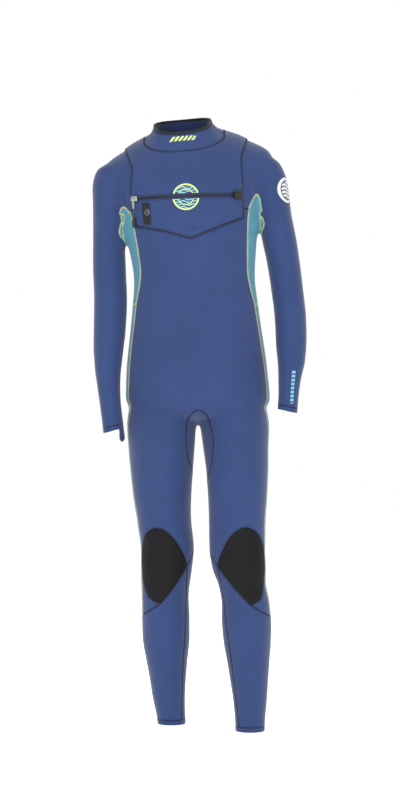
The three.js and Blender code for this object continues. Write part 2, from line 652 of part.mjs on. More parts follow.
// Pull: a link on the pin, a short stiff stem and a grip tab, all hanging clear of the snap cap.
const PULL_Y = [-9.4, -7.8];
const LINK_END = -19;
const STEM_END = -36;
const TAB_END = -54;
const eye = arcPin(SLIDER_X, 2, 2 * EAR.inner - 2 * KERF, PIN.y, PIN.z);
const linkOutline = [[-3, PIN.z], [-2.2, LINK_END], [2.2, LINK_END], [3, PIN.z]];
const linkPlate = arcPlate(SLIDER_X, linkOutline, ...PULL_Y);
place(
  "pull_link",
  join([eye, linkPlate]).subtract(arcPin(SLIDER_X, PIN.radius + KERF, 20, PIN.y, PIN.z)),
  SILVER,
);
const STEM_RADIUS = 1.1;
const stemLength = LINK_END - STEM_END - 2 * KERF;
const stemGeometry = new THREE.CylinderGeometry(STEM_RADIUS, STEM_RADIUS, stemLength, 8);
stemGeometry.rotateX(Math.PI / 2).translate(0, PIN.y, (LINK_END + STEM_END) / 2);
place("pull_stem", solid(stemGeometry.applyMatrix4(arcFrame(SLIDER_X))), GUNMETAL);
const TAB_HALF = 3.4;
const tabOutline = [
  [-1.6, STEM_END], [-TAB_HALF, STEM_END - 4], [-TAB_HALF, TAB_END],
  [TAB_HALF, TAB_END], [TAB_HALF, STEM_END - 4], [1.6, STEM_END],
];
place("pull_tab", arcPlate(SLIDER_X, tabOutline, -9.8, -7.4), PLASTIC);

// Keeper strap on the lower panel, with a snap at its middle.
const strapTop = [-70, -131];
const strapLow = [-66.5, -171];
const STRAP_HALF = 6.5;
const STRAP = [OUTER + LAYER_GAP, OUTER + LAYER_GAP + 1.2];
const SNAP = { x: -68, z: -148, stud: 2.2, cap: 6.5 };
const layer = (low, high) => body(high).subtract(body(low));
const front = (points, y1 = 0) => throughY(outline(points), -FAR, y1);
const disc = (x, z, radius, sides) =>
  Array.from({ length: sides }, (_, i) => {
    const t = (2 * Math.PI * i) / sides;
    return [x + radius * Math.cos(t), z + radius * Math.sin(t)];
  });
const strapOutline = [
  [strapTop[0] - STRAP_HALF, strapTop[1]],
  [strapLow[0] - STRAP_HALF, strapLow[1] + 3],
  [strapLow[0] - STRAP_HALF + 3, strapLow[1]],
  [strapLow[0] + STRAP_HALF - 3, strapLow[1]],
  [strapLow[0] + STRAP_HALF, strapLow[1] + 3],
  [strapTop[0] + STRAP_HALF, strapTop[1]],
];
const snapHole = front(disc(SNAP.x, SNAP.z, SNAP.stud + 0.7, 12));
place("keeper_strap", layer(...STRAP).intersect(front(strapOutline)).subtract(snapHole), TAPE_BLACK);
const capFoot = STRAP[1] + LAYER_GAP;
const capDisc = front(disc(SNAP.x, SNAP.z, SNAP.cap, 20));
const studDisc = front(disc(SNAP.x, SNAP.z, SNAP.stud, 12));
place("snap_cap", layer(capFoot, capFoot + 1.7).intersect(capDisc), GUNMETAL);
place("snap_stud", layer(STRAP[0], STRAP[1]).intersect(studDisc), GUNMETAL);

// Clasp at the far end of the zip: the tongue rides on the flap, the socket on the lower panel.
const CLASP_X = 101;
const CLASP_SPLIT = 0.8; // height of the parting between the two over the zip's line
const SOCKET = { half: 8.7, low: -7.8, corner: 1.5, face: -9 };
const TONGUE = { half: 8, high: 8, corner: 1.4, face: -8.4 };
const claspBlock = (points, face) =>
  arcPlate(CLASP_X, points, face, 2).subtract(body(OUTER + LAYER_GAP));
const socketOutline = [
  [-SOCKET.half, SOCKET.low + SOCKET.corner],
  [-SOCKET.half + SOCKET.corner, SOCKET.low],
  [SOCKET.half - SOCKET.corner, SOCKET.low],
  [SOCKET.half, SOCKET.low + SOCKET.corner],
  [SOCKET.half, CLASP_SPLIT],
  [-SOCKET.half, CLASP_SPLIT],
];
const tongueOutline = [
  [-TONGUE.half, CLASP_SPLIT + KERF],
  [TONGUE.half, CLASP_SPLIT + KERF],
  [TONGUE.half, TONGUE.high - TONGUE.corner],
  [TONGUE.half - TONGUE.corner, TONGUE.high],
  [-TONGUE.half + TONGUE.corner, TONGUE.high],
  [-TONGUE.half, TONGUE.high - TONGUE.corner],
];
place("clasp_socket", claspBlock(socketOutline, SOCKET.face), PLASTIC);
place("clasp_tongue", claspBlock(tongueOutline, TONGUE.face), PLASTIC);

// ---- Lower panel with its drain holes ------------------------------------------------------------------
const DRAINS = [[0.4, -178.6], [11.4, -182], [22.2, -177]];
const DRAIN = { hole: 0.9, rim: 2.1, height: 0.8 };
const drainHoles = join(DRAINS.map(([x, z]) => front(disc(x, z, DRAIN.hole, 8))));
place("lower_zip_panel", pick(lower.subtract(drainHoles).decompose(), [0, -95, -150]), BLUE);
const PRINT_FOOT = OUTER + LAYER_GAP;
const drainLayer = layer(PRINT_FOOT, PRINT_FOOT + DRAIN.height);
DRAINS.forEach(([x, z], i) => {
  const rim = front(disc(x, z, DRAIN.rim, 12)).subtract(drainHoles);
  place(`drain_eyelet_${i + 1}`, drainLayer.intersect(rim), GUNMETAL);
});

// ---- Prints: thin plain shapes laid on the fabric --------------------------------------------------------
const PRINT_HEIGHT = 0.5;
const printLayer = layer(PRINT_FOOT, PRINT_FOOT + PRINT_HEIGHT);
const emblem = printLayer.intersect(front(disc(5.7, -120.5, 25, 28)));
const zipBand = front([
  [-60, zipZ(-60) - ZIP_GAP / 2 - KERF], [60, zipZ(60) - ZIP_GAP / 2 - KERF],
  [60, zipZ(60) + ZIP_GAP / 2 + KERF], [-60, zipZ(-60) + ZIP_GAP / 2 + KERF],
]);
const halves = emblem.subtract(zipBand).decompose();
place("chest_emblem_upper", pick(halves, [6, -95, -100]), PRINT);
place("chest_emblem_lower", pick(halves, [6, -95, -140]), PRINT);
place("collar_mark", printLayer.intersect(front([[-26, -13], [24, -9], [25, -1], [-24, -5]])), PRINT);

const sleeveLayer = layer(LAYER_GAP, LAYER_GAP + PRINT_HEIGHT);
const BADGE = { radius: 24, z: -101.5, turn: 0.6 };
const upperArm = ringAt(ARM_RINGS[LEFT], BADGE.z);
const badgeGeometry = new THREE.CylinderGeometry(BADGE.radius, BADGE.radius, 70, 24)
  .translate(0, 35, 0)
  .rotateZ(-Math.PI / 2)
  .rotateZ(-BADGE.turn)
  .translate(upperArm.x, upperArm.y, BADGE.z);
place("sleeve_badge", sleeveLayer.intersect(solid(badgeGeometry)), WHITE);
const forearmOutline = [[202, -506], [208, -506], [212, -444], [206, -444]];
place("forearm_mark", sleeveLayer.intersect(front(forearmOutline, -20)), TEAL);

export default suit;
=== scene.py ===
"""A child's chest-zip full wetsuit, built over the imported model. Metres, +Z up, the front faces -Y.

One smooth skin is made from the body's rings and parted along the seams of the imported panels; the flap,
collar, prints and straps are parted the same way from the skin moved outwards. Stitching follows the seams.
"""
import json
import math

import bpy
import numpy as np
from mathutils import Matrix, Vector
from mathutils.bvhtree import BVHTree
from mathutils.kdtree import KDTree

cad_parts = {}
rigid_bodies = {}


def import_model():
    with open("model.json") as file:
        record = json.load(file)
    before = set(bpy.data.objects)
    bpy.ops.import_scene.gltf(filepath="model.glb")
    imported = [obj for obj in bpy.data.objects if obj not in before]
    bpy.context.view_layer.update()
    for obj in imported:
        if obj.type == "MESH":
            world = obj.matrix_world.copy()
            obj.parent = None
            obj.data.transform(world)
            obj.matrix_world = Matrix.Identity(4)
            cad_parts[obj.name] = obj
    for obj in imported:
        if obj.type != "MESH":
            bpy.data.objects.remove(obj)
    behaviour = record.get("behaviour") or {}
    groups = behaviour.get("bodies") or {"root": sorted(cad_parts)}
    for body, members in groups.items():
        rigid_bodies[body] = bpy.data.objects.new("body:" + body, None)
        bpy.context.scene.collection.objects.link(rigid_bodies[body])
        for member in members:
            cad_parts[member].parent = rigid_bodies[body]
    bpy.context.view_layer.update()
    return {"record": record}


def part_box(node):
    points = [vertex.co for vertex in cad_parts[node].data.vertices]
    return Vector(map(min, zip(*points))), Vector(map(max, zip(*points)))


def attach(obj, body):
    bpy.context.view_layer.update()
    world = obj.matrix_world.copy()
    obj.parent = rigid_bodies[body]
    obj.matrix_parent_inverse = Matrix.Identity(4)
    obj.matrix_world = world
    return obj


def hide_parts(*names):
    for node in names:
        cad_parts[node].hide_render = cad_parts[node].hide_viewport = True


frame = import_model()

MM = 0.001
WALL = 3 * MM
LAYER_GAP = 0.3 * MM
OUTER = WALL + LAYER_GAP  # height of the flap's face over the skin
ROLL = 0.09  # slope of the shoulders
VOXEL = 3 * MM
SIDES = ("right", "left")

# ---- Body rings: height, x, y, half-width, half-depth, and the trunk's slopes; millimetres ------------
TRUNK = [
    [-541, 28, 4, 20, 34], [-534, 28, 4, 64, 60], [-520, 28, 6, 120, 84], [-500, 28, 7, 138, 94],
    [-440, 26, 6, 134.5, 95], [-386, 25, 2, 128, 89], [-329, 23.5, -2, 121, 82],
    [-272, 21.5, -4, 115.5, 80], [-215, 18.5, -3, 121, 85, 0.03], [-170, 15, -1, 129, 90, 0.05],
    [-140, 13.5, 0, 135, 91, ROLL], [-105, 12, 1, 138, 90, ROLL], [-80, 10.5, 2, 150, 86, ROLL, 0.06],
    [-58, 9, 3.5, 161, 80, ROLL, 0.12], [-42, 8, 4.5, 159, 76, ROLL, 0.18],
    [-30, 6, 5, 146, 73, ROLL, 0.25], [-18, 4.5, 5, 122, 70, ROLL, 0.33], [-6, 3, 4, 97, 65, ROLL, 0.38],
    [7, 1.5, 2, 64, 57.5, ROLL, 0.4], [30, -2, -1, 51, 53, ROLL, 0.35], [75, -4, -3, 48, 50, ROLL, 0.3],
]
LEGS = {
    "right": [
        [-1135, -22, 24, 27.5, 33], [-1113, -23, 24, 27.5, 33], [-1068, -28, 22.5, 31.5, 37],
        [-1030, -30, 21, 35.5, 43], [-992, -32, 19.5, 40.5, 48], [-954, -33, 17, 45.5, 51],
        [-915, -33.5, 13, 46, 53], [-875, -35, 8, 45.5, 52], [-823, -32, -2, 49, 54],
        [-785, -30, -5, 51, 56], [-735, -36, -4, 51.5, 59], [-680, -40, -2, 56, 65],
        [-633, -41, 0, 60, 70], [-595, -41.5, 3, 63, 76], [-545, -41.5, 5, 66, 79],
        [-520, -40, 5, 64, 72], [-485, -34, 6, 44, 50],
    ],
    "left": [
        [-1135, 126, -76, 28, 33], [-1113, 126, -76, 28, 33], [-1068, 126, -74, 31.5, 38],
        [-1030, 124.5, -71, 35.5, 43], [-992, 123, -67, 40, 48], [-954, 121, -63, 45, 52],
        [-915, 119.5, -60, 47, 54], [-880, 118, -58, 45.5, 53], [-850, 112, -56, 45, 52],
        [-818, 106, -54, 51, 54], [-780, 102.5, -49, 53, 56], [-735, 102.5, -40, 53.5, 59],
        [-680, 103.5, -29, 56.5, 65], [-633, 103, -17, 59.5, 70], [-595, 100.5, -8, 62, 75],
        [-545, 98, 2, 66, 79], [-520, 96, 4, 64, 72], [-485, 90, 6, 44, 50],
    ],
}
ARMS = {
    "right": [
        [-580, -130, -27, 21.5, 26], [-548, -133, -25, 20.5, 26], [-519, -137, -21, 20.5, 26],
        [-481, -141, -15, 22, 28], [-443, -143, -8, 25.5, 31], [-405, -142.5, -1, 29, 34],
        [-367, -140.5, 5, 31, 36], [-310, -139, 9, 32, 37], [-253, -141, 10, 32, 38],
        [-196, -142, 9, 31, 39], [-158, -141.5, 7, 31.5, 42], [-118, -137, 5, 36, 44],
        [-85, -132, 4.5, 41, 43], [-62, -126, 4, 40, 37], [-50, -122, 4, 26, 24],
    ],
    "left": [
        [-545, 196, -47, 19.5, 25], [-522, 197, -44, 19.5, 25], [-500, 199, -39, 19.5, 25],
        [-462, 202, -29, 22, 28], [-424, 206, -17, 27, 33], [-386, 206, -5, 30, 35],
        [-348, 205, 3, 30.5, 36], [-291, 199, 9, 31, 37], [-234, 191, 9, 32, 38],
        [-190, 182.5, 8, 33.5, 40], [-150, 175, 7, 33, 43], [-110, 166, 5.5, 37, 44],
        [-76, 158, 4.5, 39, 43], [-46, 147, 4, 36, 36], [-34, 140, 4, 24, 23],
    ],
}
WRIST = {"right": (-558, 0.26), "left": (-521, -0.2)}  # height of the cut at the arm's middle, slope
ARMPIT = {"right": (-111.5, 5, -176), "left": (144.5, 5, -160)}
CROTCH = (28, 4, -541)
CROTCH_REACH = 22
ARMPIT_REACH = 30
# The side panels end in a point beside the armpit: outlines in the front view.
TEAL_TIP = {
    "right": [(-101, -148), (-107, -139), (-114, -134), (-118, -139), (-121, -148)],
    "left": [(123, -143), (128, -130), (134, -117), (140, -109), (145, -117), (149, -142)],
}


# ---- Materials ----------------------------------------------------------------------------------------
class Nodes:
    """A material's node tree with short ways to add and link nodes."""

    def __init__(self, name, roughness, metallic=0.0, specular=0.5, sheen=0.0, coat=0.0):
        self.material = bpy.data.materials.new(name)
        self.material.use_nodes = True
        self.tree = self.material.node_tree
        self.shader = self.tree.nodes["Principled BSDF"]
        values = {
            "Roughness": roughness,
            "Metallic": metallic,
            "Specular IOR Level": specular,
            "Sheen Weight": sheen,
            "Sheen Roughness": 0.45,
            "Coat Weight": coat,
        }
        for socket, value in values.items():
            self.shader.inputs[socket].default_value = value
        self.coordinates = self.tree.nodes.new("ShaderNodeTexCoord").outputs["Object"]

    def add(self, kind, inputs=None, **settings):
        node = self.tree.nodes.new(kind)
        for key, value in settings.items():
            setattr(node, key, value)
        for key, value in (inputs or {}).items():
            if isinstance(value, bpy.types.NodeSocket):
                self.tree.links.new(value, node.inputs[key])
            else:
                node.inputs[key].default_value = value
        return node

    def stretched(self, scale):
        node = self.add("ShaderNodeMapping", {"Vector": self.coordinates, "Scale": scale})
        return node.outputs["Vector"]

    def noise(self, scale, detail=3.0, vector=None):
        inputs = {"Vector": vector or self.coordinates, "Scale": scale, "Detail": detail}
        return self.add("ShaderNodeTexNoise", inputs).outputs["Fac"]

    def ramp(self, factor, stops):
        node = self.add("ShaderNodeValToRGB", {"Fac": factor})
        elements = node.color_ramp.elements
        while len(elements) < len(stops):
            elements.new(0.5)
        for element, (position, colour) in zip(elements, stops):
            element.position = position
            element.color = (*colour, 1.0)
        return node.outputs["Color"]

    def mix(self, factor, a, b, blend="MIX"):
        node = self.add("ShaderNodeMix", data_type="RGBA", blend_type=blend)
        for index, value in ((0, factor), (6, a), (7, b)):
            if isinstance(value, bpy.types.NodeSocket):
                self.tree.links.new(value, node.inputs[index])
            else:
                node.inputs[index].default_value = value
        return node.outputs[2]

    def math(self, operation, a, b=0.0):
        node = self.add("ShaderNodeMath", {0: a, 1: b}, operation=operation)
        return node.outputs[0]

    def colour(self, socket):
        self.tree.links.new(socket, self.shader.inputs["Base Color"])

    def roughness(self, factor, low, high):
        node = self.add("ShaderNodeMapRange", {"Value": factor, "To Min": low, "To Max": high})
        self.tree.links.new(node.outputs["Result"], self.shader.inputs["Roughness"])

    def bump(self, heights):
        """Stacks (height, strength, distance) bumps, the coarse ones first."""
        normal = None
        for height, strength, distance in heights:
            inputs = {"Height": height, "Strength": strength, "Distance": distance}
            if normal:
                inputs["Normal"] = normal
            normal = self.add("ShaderNodeBump", inputs).outputs["Normal"]
        self.tree.links.new(normal, self.shader.inputs["Normal"])


def linear(red, green, blue):
    """An sRGB colour of 0 to 255 as linear light."""
    return tuple(
        value / 12.92 if value <= 0.04045 else ((value + 0.055) / 1.055) ** 2.4
        for value in (red / 255, green / 255, blue / 255)
    )


def scaled(colour, factor):
    return tuple(min(1.0, value * factor) for value in colour)


def jersey(name, colour, contrast=1.0):
    """Knitted neoprene facing: two-tone heather yarn, fine wales, a soft sheen, and painted shade that
    darkens the colour in the dips pressed in along the seams.
    """
    nodes = Nodes(name, 0.78, specular=0.25, sheen=0.25)
    heather = nodes.noise(1500, 2.0, nodes.stretched((1.0, 1.0, 0.35)))
    dark = scaled(colour, 1 - 0.18 * contrast)
    light = scaled(colour, 1 + 0.2 * contrast)
    yarn = nodes.ramp(heather, [(0.35, dark), (0.5, colour), (0.65, light)])
    cloudy = nodes.ramp(nodes.noise(9, 4.0), [(0.3, (0.93,) * 3), (0.7, (1.07,) * 3)])
    toned = nodes.mix(1.0, yarn, cloudy, "MULTIPLY")
    # Painted shade: the seam attribute darkens the yarn colour towards 55 % in the seam dips.
    seam = nodes.add("ShaderNodeAttribute", attribute_name="seam").outputs["Fac"]
    shaded = nodes.mix(seam, toned, (*scaled(colour, 0.55), 1.0))
    nodes.colour(shaded)
    nodes.roughness(nodes.noise(60, 4.0), 0.7, 0.86)
    wales = nodes.add(
        "ShaderNodeTexWave",
        {"Vector": nodes.coordinates, "Scale": 330.0, "Distortion": 1.2, "Detail": 1.0},
        bands_direction="DIAGONAL",
    ).outputs["Fac"]
    courses = nodes.noise(1100, 1.0, nodes.stretched((1.0, 1.0, 2.2)))
    nodes.bump([(nodes.noise(35, 3.0), 0.12, 0.0012), (wales, 0.1, 0.0003), (courses, 0.22, 0.0004)])
    return nodes.material


def embossed_rubber(name, colour):
    """Abrasion-proof knee facing: near-black with a raised cell pattern, painted shade in the grooves between
    the cells and in the seam dips, and painted light on the raised cell tops.
    """
    nodes = Nodes(name, 0.75, specular=0.2, sheen=0.03)
    cells = nodes.add(
        "ShaderNodeTexVoronoi", {"Vector": nodes.coordinates, "Scale": 420.0}, feature="DISTANCE_TO_EDGE"
    ).outputs["Distance"]
    raised = nodes.ramp(cells, [(0.02, (0.0,) * 3), (0.22, (1.0,) * 3)])
    # Painted shade and light: the colour is darker in the grooves between the cells and lighter on their
    # raised tops.
    base = nodes.mix(raised, (*scaled(colour, 0.55), 1.0), (*scaled(colour, 1.15), 1.0))
    dust = nodes.ramp(nodes.noise(45, 5.0), [(0.45, (1.0,) * 3), (0.8, (1.35,) * 3)])
    toned = nodes.mix(1.0, base, dust, "MULTIPLY")
    # Painted shade in the seam dips, as on the jersey.
    seam = nodes.add("ShaderNodeAttribute", attribute_name="seam").outputs["Fac"]
    nodes.colour(nodes.mix(seam, toned, (*scaled(colour, 0.4), 1.0)))
    nodes.roughness(nodes.noise(120, 4.0), 0.6, 0.82)
    nodes.bump([(nodes.noise(30, 3.0), 0.1, 0.001), (raised, 0.3, 0.0004)])
    return nodes.material


def webbing(name, colour):
    """Woven tape: ribs along its length crossed by fine picks, with painted shade in the weave's hollows,
    painted light on its crests and worn lighter threads.
    """
    nodes = Nodes(name, 0.72, specular=0.3, sheen=0.15)
    ribs = nodes.add(
        "ShaderNodeTexWave",
        {"Vector": nodes.coordinates, "Scale": 260.0, "Distortion": 0.6, "Detail": 1.0},
        bands_direction="X",
    ).outputs["Fac"]
    picks = nodes.add(
        "ShaderNodeTexWave",
        {"Vector": nodes.coordinates, "Scale": 420.0, "Distortion": 0.6, "Detail": 1.0},
        bands_direction="Z",
    ).outputs["Fac"]
    weave = nodes.math("MULTIPLY", ribs, picks)
    # Painted shade and light: the colour follows the weave's relief, darker in the hollows and lighter where
    # ribs and picks cross.
    threads = nodes.ramp(weave, [(0.1, scaled(colour, 0.7)), (0.8, scaled(colour, 1.6))])
    worn = nodes.ramp(nodes.noise(400, 4.0), [(0.55, (1.0,) * 3), (0.8, (1.6,) * 3)])
    nodes.colour(nodes.mix(1.0, threads, worn, "MULTIPLY"))
    nodes.roughness(nodes.noise(200, 3.0), 0.62, 0.82)
    nodes.bump([(weave, 0.4, 0.0004)])
    return nodes.material


def thread(name, colour):
    """Sewing thread: twisted fibres with a slight sheen, painted shade in the twist's grooves and painted
    light on its ridges.
    """
    nodes = Nodes(name, 0.6, specular=0.35, sheen=0.2)
    twist = nodes.add(
        "ShaderNodeTexWave",
        {"Vector": nodes.coordinates, "Scale": 900.0, "Distortion": 2.0, "Detail": 2.0},
        bands_direction="DIAGONAL",
    ).outputs["Fac"]
    # Painted shade and light: the colour follows the twist's relief, darker in its grooves and lighter on its
    # ridges.
    shades = nodes.ramp(twist, [(0.2, scaled(colour, 0.72)), (0.8, scaled(colour, 1.2))])
    faded = nodes.ramp(nodes.noise(80, 4.0), [(0.35, (0.88,) * 3), (0.7, (1.1,) * 3)])
    nodes.colour(nodes.mix(1.0, shades, faded, "MULTIPLY"))
    nodes.roughness(nodes.noise(500, 3.0), 0.5, 0.7)
    nodes.bump([(twist, 0.35, 0.0003)])
    return nodes.material


def moulded(name, colour, roughness=0.42):
    """Injection-moulded plastic: fine spark texture, rubbed a little shinier and paler in places."""
    nodes = Nodes(name, roughness, specular=0.5)
    rubbed = nodes.noise(260, 5.0)
    nodes.colour(nodes.ramp(rubbed, [(0.3, scaled(colour, 0.85)), (0.75, scaled(colour, 1.5))]))
    nodes.roughness(rubbed, roughness + 0.1, roughness - 0.1)
    nodes.bump([(nodes.noise(2600, 2.0), 0.16, 0.0002)])
    return nodes.material


def metal(name, colour, roughness=0.28):
    """Die-cast metal: fine scratches, duller patches and slightly darker pores."""
    nodes = Nodes(name, roughness, metallic=1.0, specular=0.5)
    scratches = nodes.noise(900, 4.0, nodes.stretched((1.0, 1.0, 0.08)))
    patches = nodes.noise(240, 4.0)
    nodes.colour(nodes.ramp(patches, [(0.3, scaled(colour, 0.72)), (0.7, scaled(colour, 1.08))]))
    nodes.roughness(scratches, roughness - 0.08, roughness + 0.2)
    nodes.bump([(scratches, 0.1, 0.0002)])
    return nodes.material


def printed(name, colour):
    """Screen print: a slightly glossy ink film broken by the knit below it."""
    nodes = Nodes(name, 0.5, specular=0.4)
    knit = nodes.noise(1300, 2.0)
    nodes.colour(nodes.ramp(knit, [(0.32, scaled(colour, 0.7)), (0.45, colour), (0.7, scaled(colour, 1.08))]))
    nodes.roughness(nodes.noise(300, 3.0), 0.42, 0.62)
    nodes.bump([(knit, 0.25, 0.0003)])
    return nodes.material


BLUE = linear(42, 61, 106)
MATERIALS = {
    "blue": jersey("blue jersey", BLUE),
    "teal": jersey("teal jersey", linear(70, 136, 156)),
    "navy": jersey("navy jersey", linear(34, 42, 72)),
    "knee": embossed_rubber("knee facing", linear(17, 17, 21)),
    "webbing": webbing("black webbing", linear(27, 27, 32)),
    "binding": webbing("collar binding", linear(24, 25, 34)),
    "tape": webbing("zip tape", linear(38, 54, 94)),
    "plastic": moulded("black plastic", linear(30, 30, 33)),
    "teeth": moulded("zip teeth", linear(26, 27, 31), 0.35),
    "silver": metal("silver metal", linear(205, 203, 198)),
    "gunmetal": metal("grey metal", linear(96, 97, 101), 0.34),
    "rubber": moulded("grey rubber", linear(72, 74, 78), 0.55),
    "navy_thread": thread("navy thread", linear(25, 31, 58)),
    "khaki_thread": thread("khaki thread", linear(188, 194, 148)),
    "lime": printed("lime print", linear(206, 224, 128)),
    "teal_print": printed("teal print", linear(112, 178, 196)),
    "white": printed("white print", linear(226, 226, 224)),
}


# ---- Mesh helpers -------------------------------------------------------------------------------------
def new_object(name, vertices, faces, material, seam=None, sharp_angle=40):
    mesh = bpy.data.meshes.new(name)
    mesh.from_pydata([tuple(v) for v in vertices], [], [tuple(int(i) for i in f) for f in faces])
    mesh.update()
    mesh.polygons.foreach_set("use_smooth", [True] * len(mesh.polygons))
    mesh.set_sharp_from_angle(angle=math.radians(sharp_angle))
    # The seam attribute holds painted shade for the dips along the seams, read by the fabric shaders.
    if seam is not None:
        layer = mesh.attributes.new("seam", "FLOAT", "POINT")
        layer.data.foreach_set("value", np.asarray(seam, dtype=np.float32))
    mesh.materials.append(MATERIALS[material])
    obj = bpy.data.objects.new(name, mesh)
    bpy.context.scene.collection.objects.link(obj)
    return obj


def arrays(mesh):
    """A mesh's points and its faces cut into triangles."""
    mesh.calc_loop_triangles()
    points = np.empty(len(mesh.vertices) * 3)
    mesh.vertices.foreach_get("co", points)
    triangles = np.empty(len(mesh.loop_triangles) * 3, dtype=np.int64)
    mesh.loop_triangles.foreach_get("vertices", triangles)
    return points.reshape(-1, 3), triangles.reshape(-1, 3)


def vertex_normals(points, triangles):
    a, b, c = (points[triangles[:, k]] for k in range(3))
    face = np.cross(b - a, c - a)
    total = np.zeros_like(points)
    for axis in range(3):
        for corner in range(3):
            total[:, axis] += np.bincount(triangles[:, corner], face[:, axis], len(points))
    return total / np.maximum(np.linalg.norm(total, axis=1), 1e-12)[:, None]


def edges_of(triangles):
    sides = [triangles[:, [0, 1]], triangles[:, [1, 2]], triangles[:, [2, 0]]]
    pairs = np.sort(np.concatenate(sides), axis=1)
    return np.unique(pairs, axis=0, return_counts=True)


def relax(points, edges, amount, rounds):
    """Moves each point towards the middle of its neighbours, by an amount that may differ by point."""
    count = len(points)
    degree = np.bincount(edges.ravel(), minlength=count)
    for _ in range(rounds):
        total = np.empty_like(points)
        for axis in range(3):
            values = points[:, axis]
            total[:, axis] = np.bincount(edges[:, 0], values[edges[:, 1]], count)
            total[:, axis] += np.bincount(edges[:, 1], values[edges[:, 0]], count)
        middle = total / np.maximum(degree, 1)[:, None]
        points = points + (middle - points) * amount
    return points


# ---- The skin -----------------------------------------------------------------------------------------
def refined(rings, step):
    """Rings between the given ones, by a smooth curve that doesn't overshoot."""
    table = np.array([ring + [0.0] * (7 - len(ring)) for ring in rings])
    height = np.diff(table[:, 0])
    slope = np.diff(table, axis=0) / height[:, None]
    tangent = np.zeros_like(table)
    tangent[0], tangent[-1] = slope[0], slope[-1]
    for i in range(1, len(table) - 1):
        before, after = slope[i - 1], slope[i]
        w1 = 2 * height[i] + height[i - 1]
        w2 = height[i] + 2 * height[i - 1]
        same = before * after > 0
        safe = np.where(same, before, 1.0), np.where(same, after, 1.0)
        tangent[i] = np.where(same, (w1 + w2) / (w1 / safe[0] + w2 / safe[1]), 0.0)
    rows = []
    for i, span in enumerate(height):
        for t in np.arange(0, 1, 1 / math.ceil(span / step)):
            h00 = 2 * t**3 - 3 * t**2 + 1
            h10 = t**3 - 2 * t**2 + t
            h01 = -2 * t**3 + 3 * t**2
            h11 = t**3 - t**2
            rows.append(
                h00 * table[i] + h10 * span * tangent[i] + h01 * table[i + 1] + h11 * span * tangent[i + 1]
            )
    rows.append(table[-1])
    return rows


def tube(rings, segments=72, step=4.0):
    angle = np.linspace(0, 2 * math.pi, segments, endpoint=False)
    points = []
    for z, x, y, a, b, roll, pitch in refined(rings, step):
        dx, dy = a * np.cos(angle), b * np.sin(angle)
        points.append(np.stack([x + dx, y + dy, z + roll * dx + pitch * dy], axis=1))
    rows = len(points)
    faces = []
    for j in range(rows - 1):
        for i in range(segments):
            n = (i + 1) % segments
            low, high = j * segments, (j + 1) * segments
            faces.append((low + i, low + n, high + n, high + i))
    faces.append(tuple(reversed(range(segments))))
    faces.append(tuple((rows - 1) * segments + i for i in range(segments)))
    return np.concatenate(points) * MM, faces


def near(points, centre, radius):
    distance = np.linalg.norm(points - np.array(centre) * MM, axis=1)
    return np.exp(-((distance / (radius * MM)) ** 2))


def skin_surface():
    """The body's outside as one even mesh: tubes joined by a voxel remesh, then smoothed."""
    points, faces = [], []
    for rings in (TRUNK, *LEGS.values(), *ARMS.values()):
        p, f = tube(rings)
        start = sum(len(q) for q in points)
        faces += [tuple(start + i for i in face) for face in f]
        points.append(p)
    mesh = bpy.data.meshes.new("tubes")
    mesh.from_pydata([tuple(p) for p in np.concatenate(points)], [], faces)
    obj = bpy.data.objects.new("tubes", mesh)
    bpy.context.scene.collection.objects.link(obj)
    remesh = obj.modifiers.new("remesh", "REMESH")
    remesh.mode = "VOXEL"
    remesh.voxel_size = VOXEL
    evaluated = obj.evaluated_get(bpy.context.evaluated_depsgraph_get())
    surface, triangles = arrays(evaluated.to_mesh())
    bpy.data.objects.remove(obj)
    bpy.data.meshes.remove(mesh)
    edges, _ = edges_of(triangles)
    surface = relax(surface, edges, 0.5, 10)
    joints = near(surface, CROTCH, CROTCH_REACH)
    for side in SIDES:
        x, y, z = ARMPIT[side]
        joints = np.maximum(joints, near(surface, (x, y, z), ARMPIT_REACH))
        joints = np.maximum(joints, 0.25 * near(surface, (x, y, z + 70), 45))
    surface = relax(surface, edges, 0.6 * joints[:, None], 40)
    return relax(surface, edges, 0.5, 4), triangles


# A fold: points (x, z) of its line, 1 for the back or -1 for the front, its width and depth; millimetres.
FOLDS = [
    ([(-126, -84), (-115, -104), (-106, -140)], -1, 7, 1.9),
    ([(-132, -120), (-118, -150), (-108, -176)], -1, 6, 1.3),
    ([(110, -60), (116, -98), (124, -132)], -1, 7, 2.0),
    ([(136, -104), (138, -132), (142, -156)], -1, 6, 1.4),
    ([(-20, -486), (4, -506), (20, -518)], -1, 9, 1.8),
    ([(84, -494), (60, -506), (40, -516)], -1, 9, 1.3),
    ([(-60, -545), (-20, -560), (6, -570)], -1, 12, 0.7),
    ([(120, -556), (84, -568), (52, -576)], -1, 12, 0.7),
    ([(-120, -182), (-106, -196), (-92, -202)], -1, 4, 1.0),
    ([(152, -168), (138, -184), (122, -190)], -1, 4, 1.2),
    ([(-166, -300), (-140, -309), (-116, -304)], -1, 8, 0.8),
    ([(172, -292), (196, -302), (222, -296)], -1, 8, 0.8),
    ([(-70, -885), (-36, -893), (4, -884)], 1, 8, 1.3),
    ([(-72, -842), (-36, -850), (6, -840)], 1, 9, 1.1),
    ([(78, -886), (116, -894), (156, -886)], 1, 8, 1.3),
    ([(70, -838), (108, -848), (150, -840)], 1, 9, 1.1),
    ([(-62, -604), (-20, -612), (10, -602)], 1, 9, 1.2),
    ([(52, -606), (90, -614), (138, -604)], 1, 9, 1.2),
    ([(-40, -322), (24, -334), (86, -322)], 1, 12, 1.2),
    ([(-120, -150), (-96, -182), (-80, -230)], 1, 8, 1.2),
    ([(150, -140), (124, -176), (110, -226)], 1, 8, 1.2),
    ([(-172, -330), (-140, -322), (-112, -330)], 1, 9, 0.9),
    ([(170, -318), (202, -311), (232, -318)], 1, 9, 0.9),
]


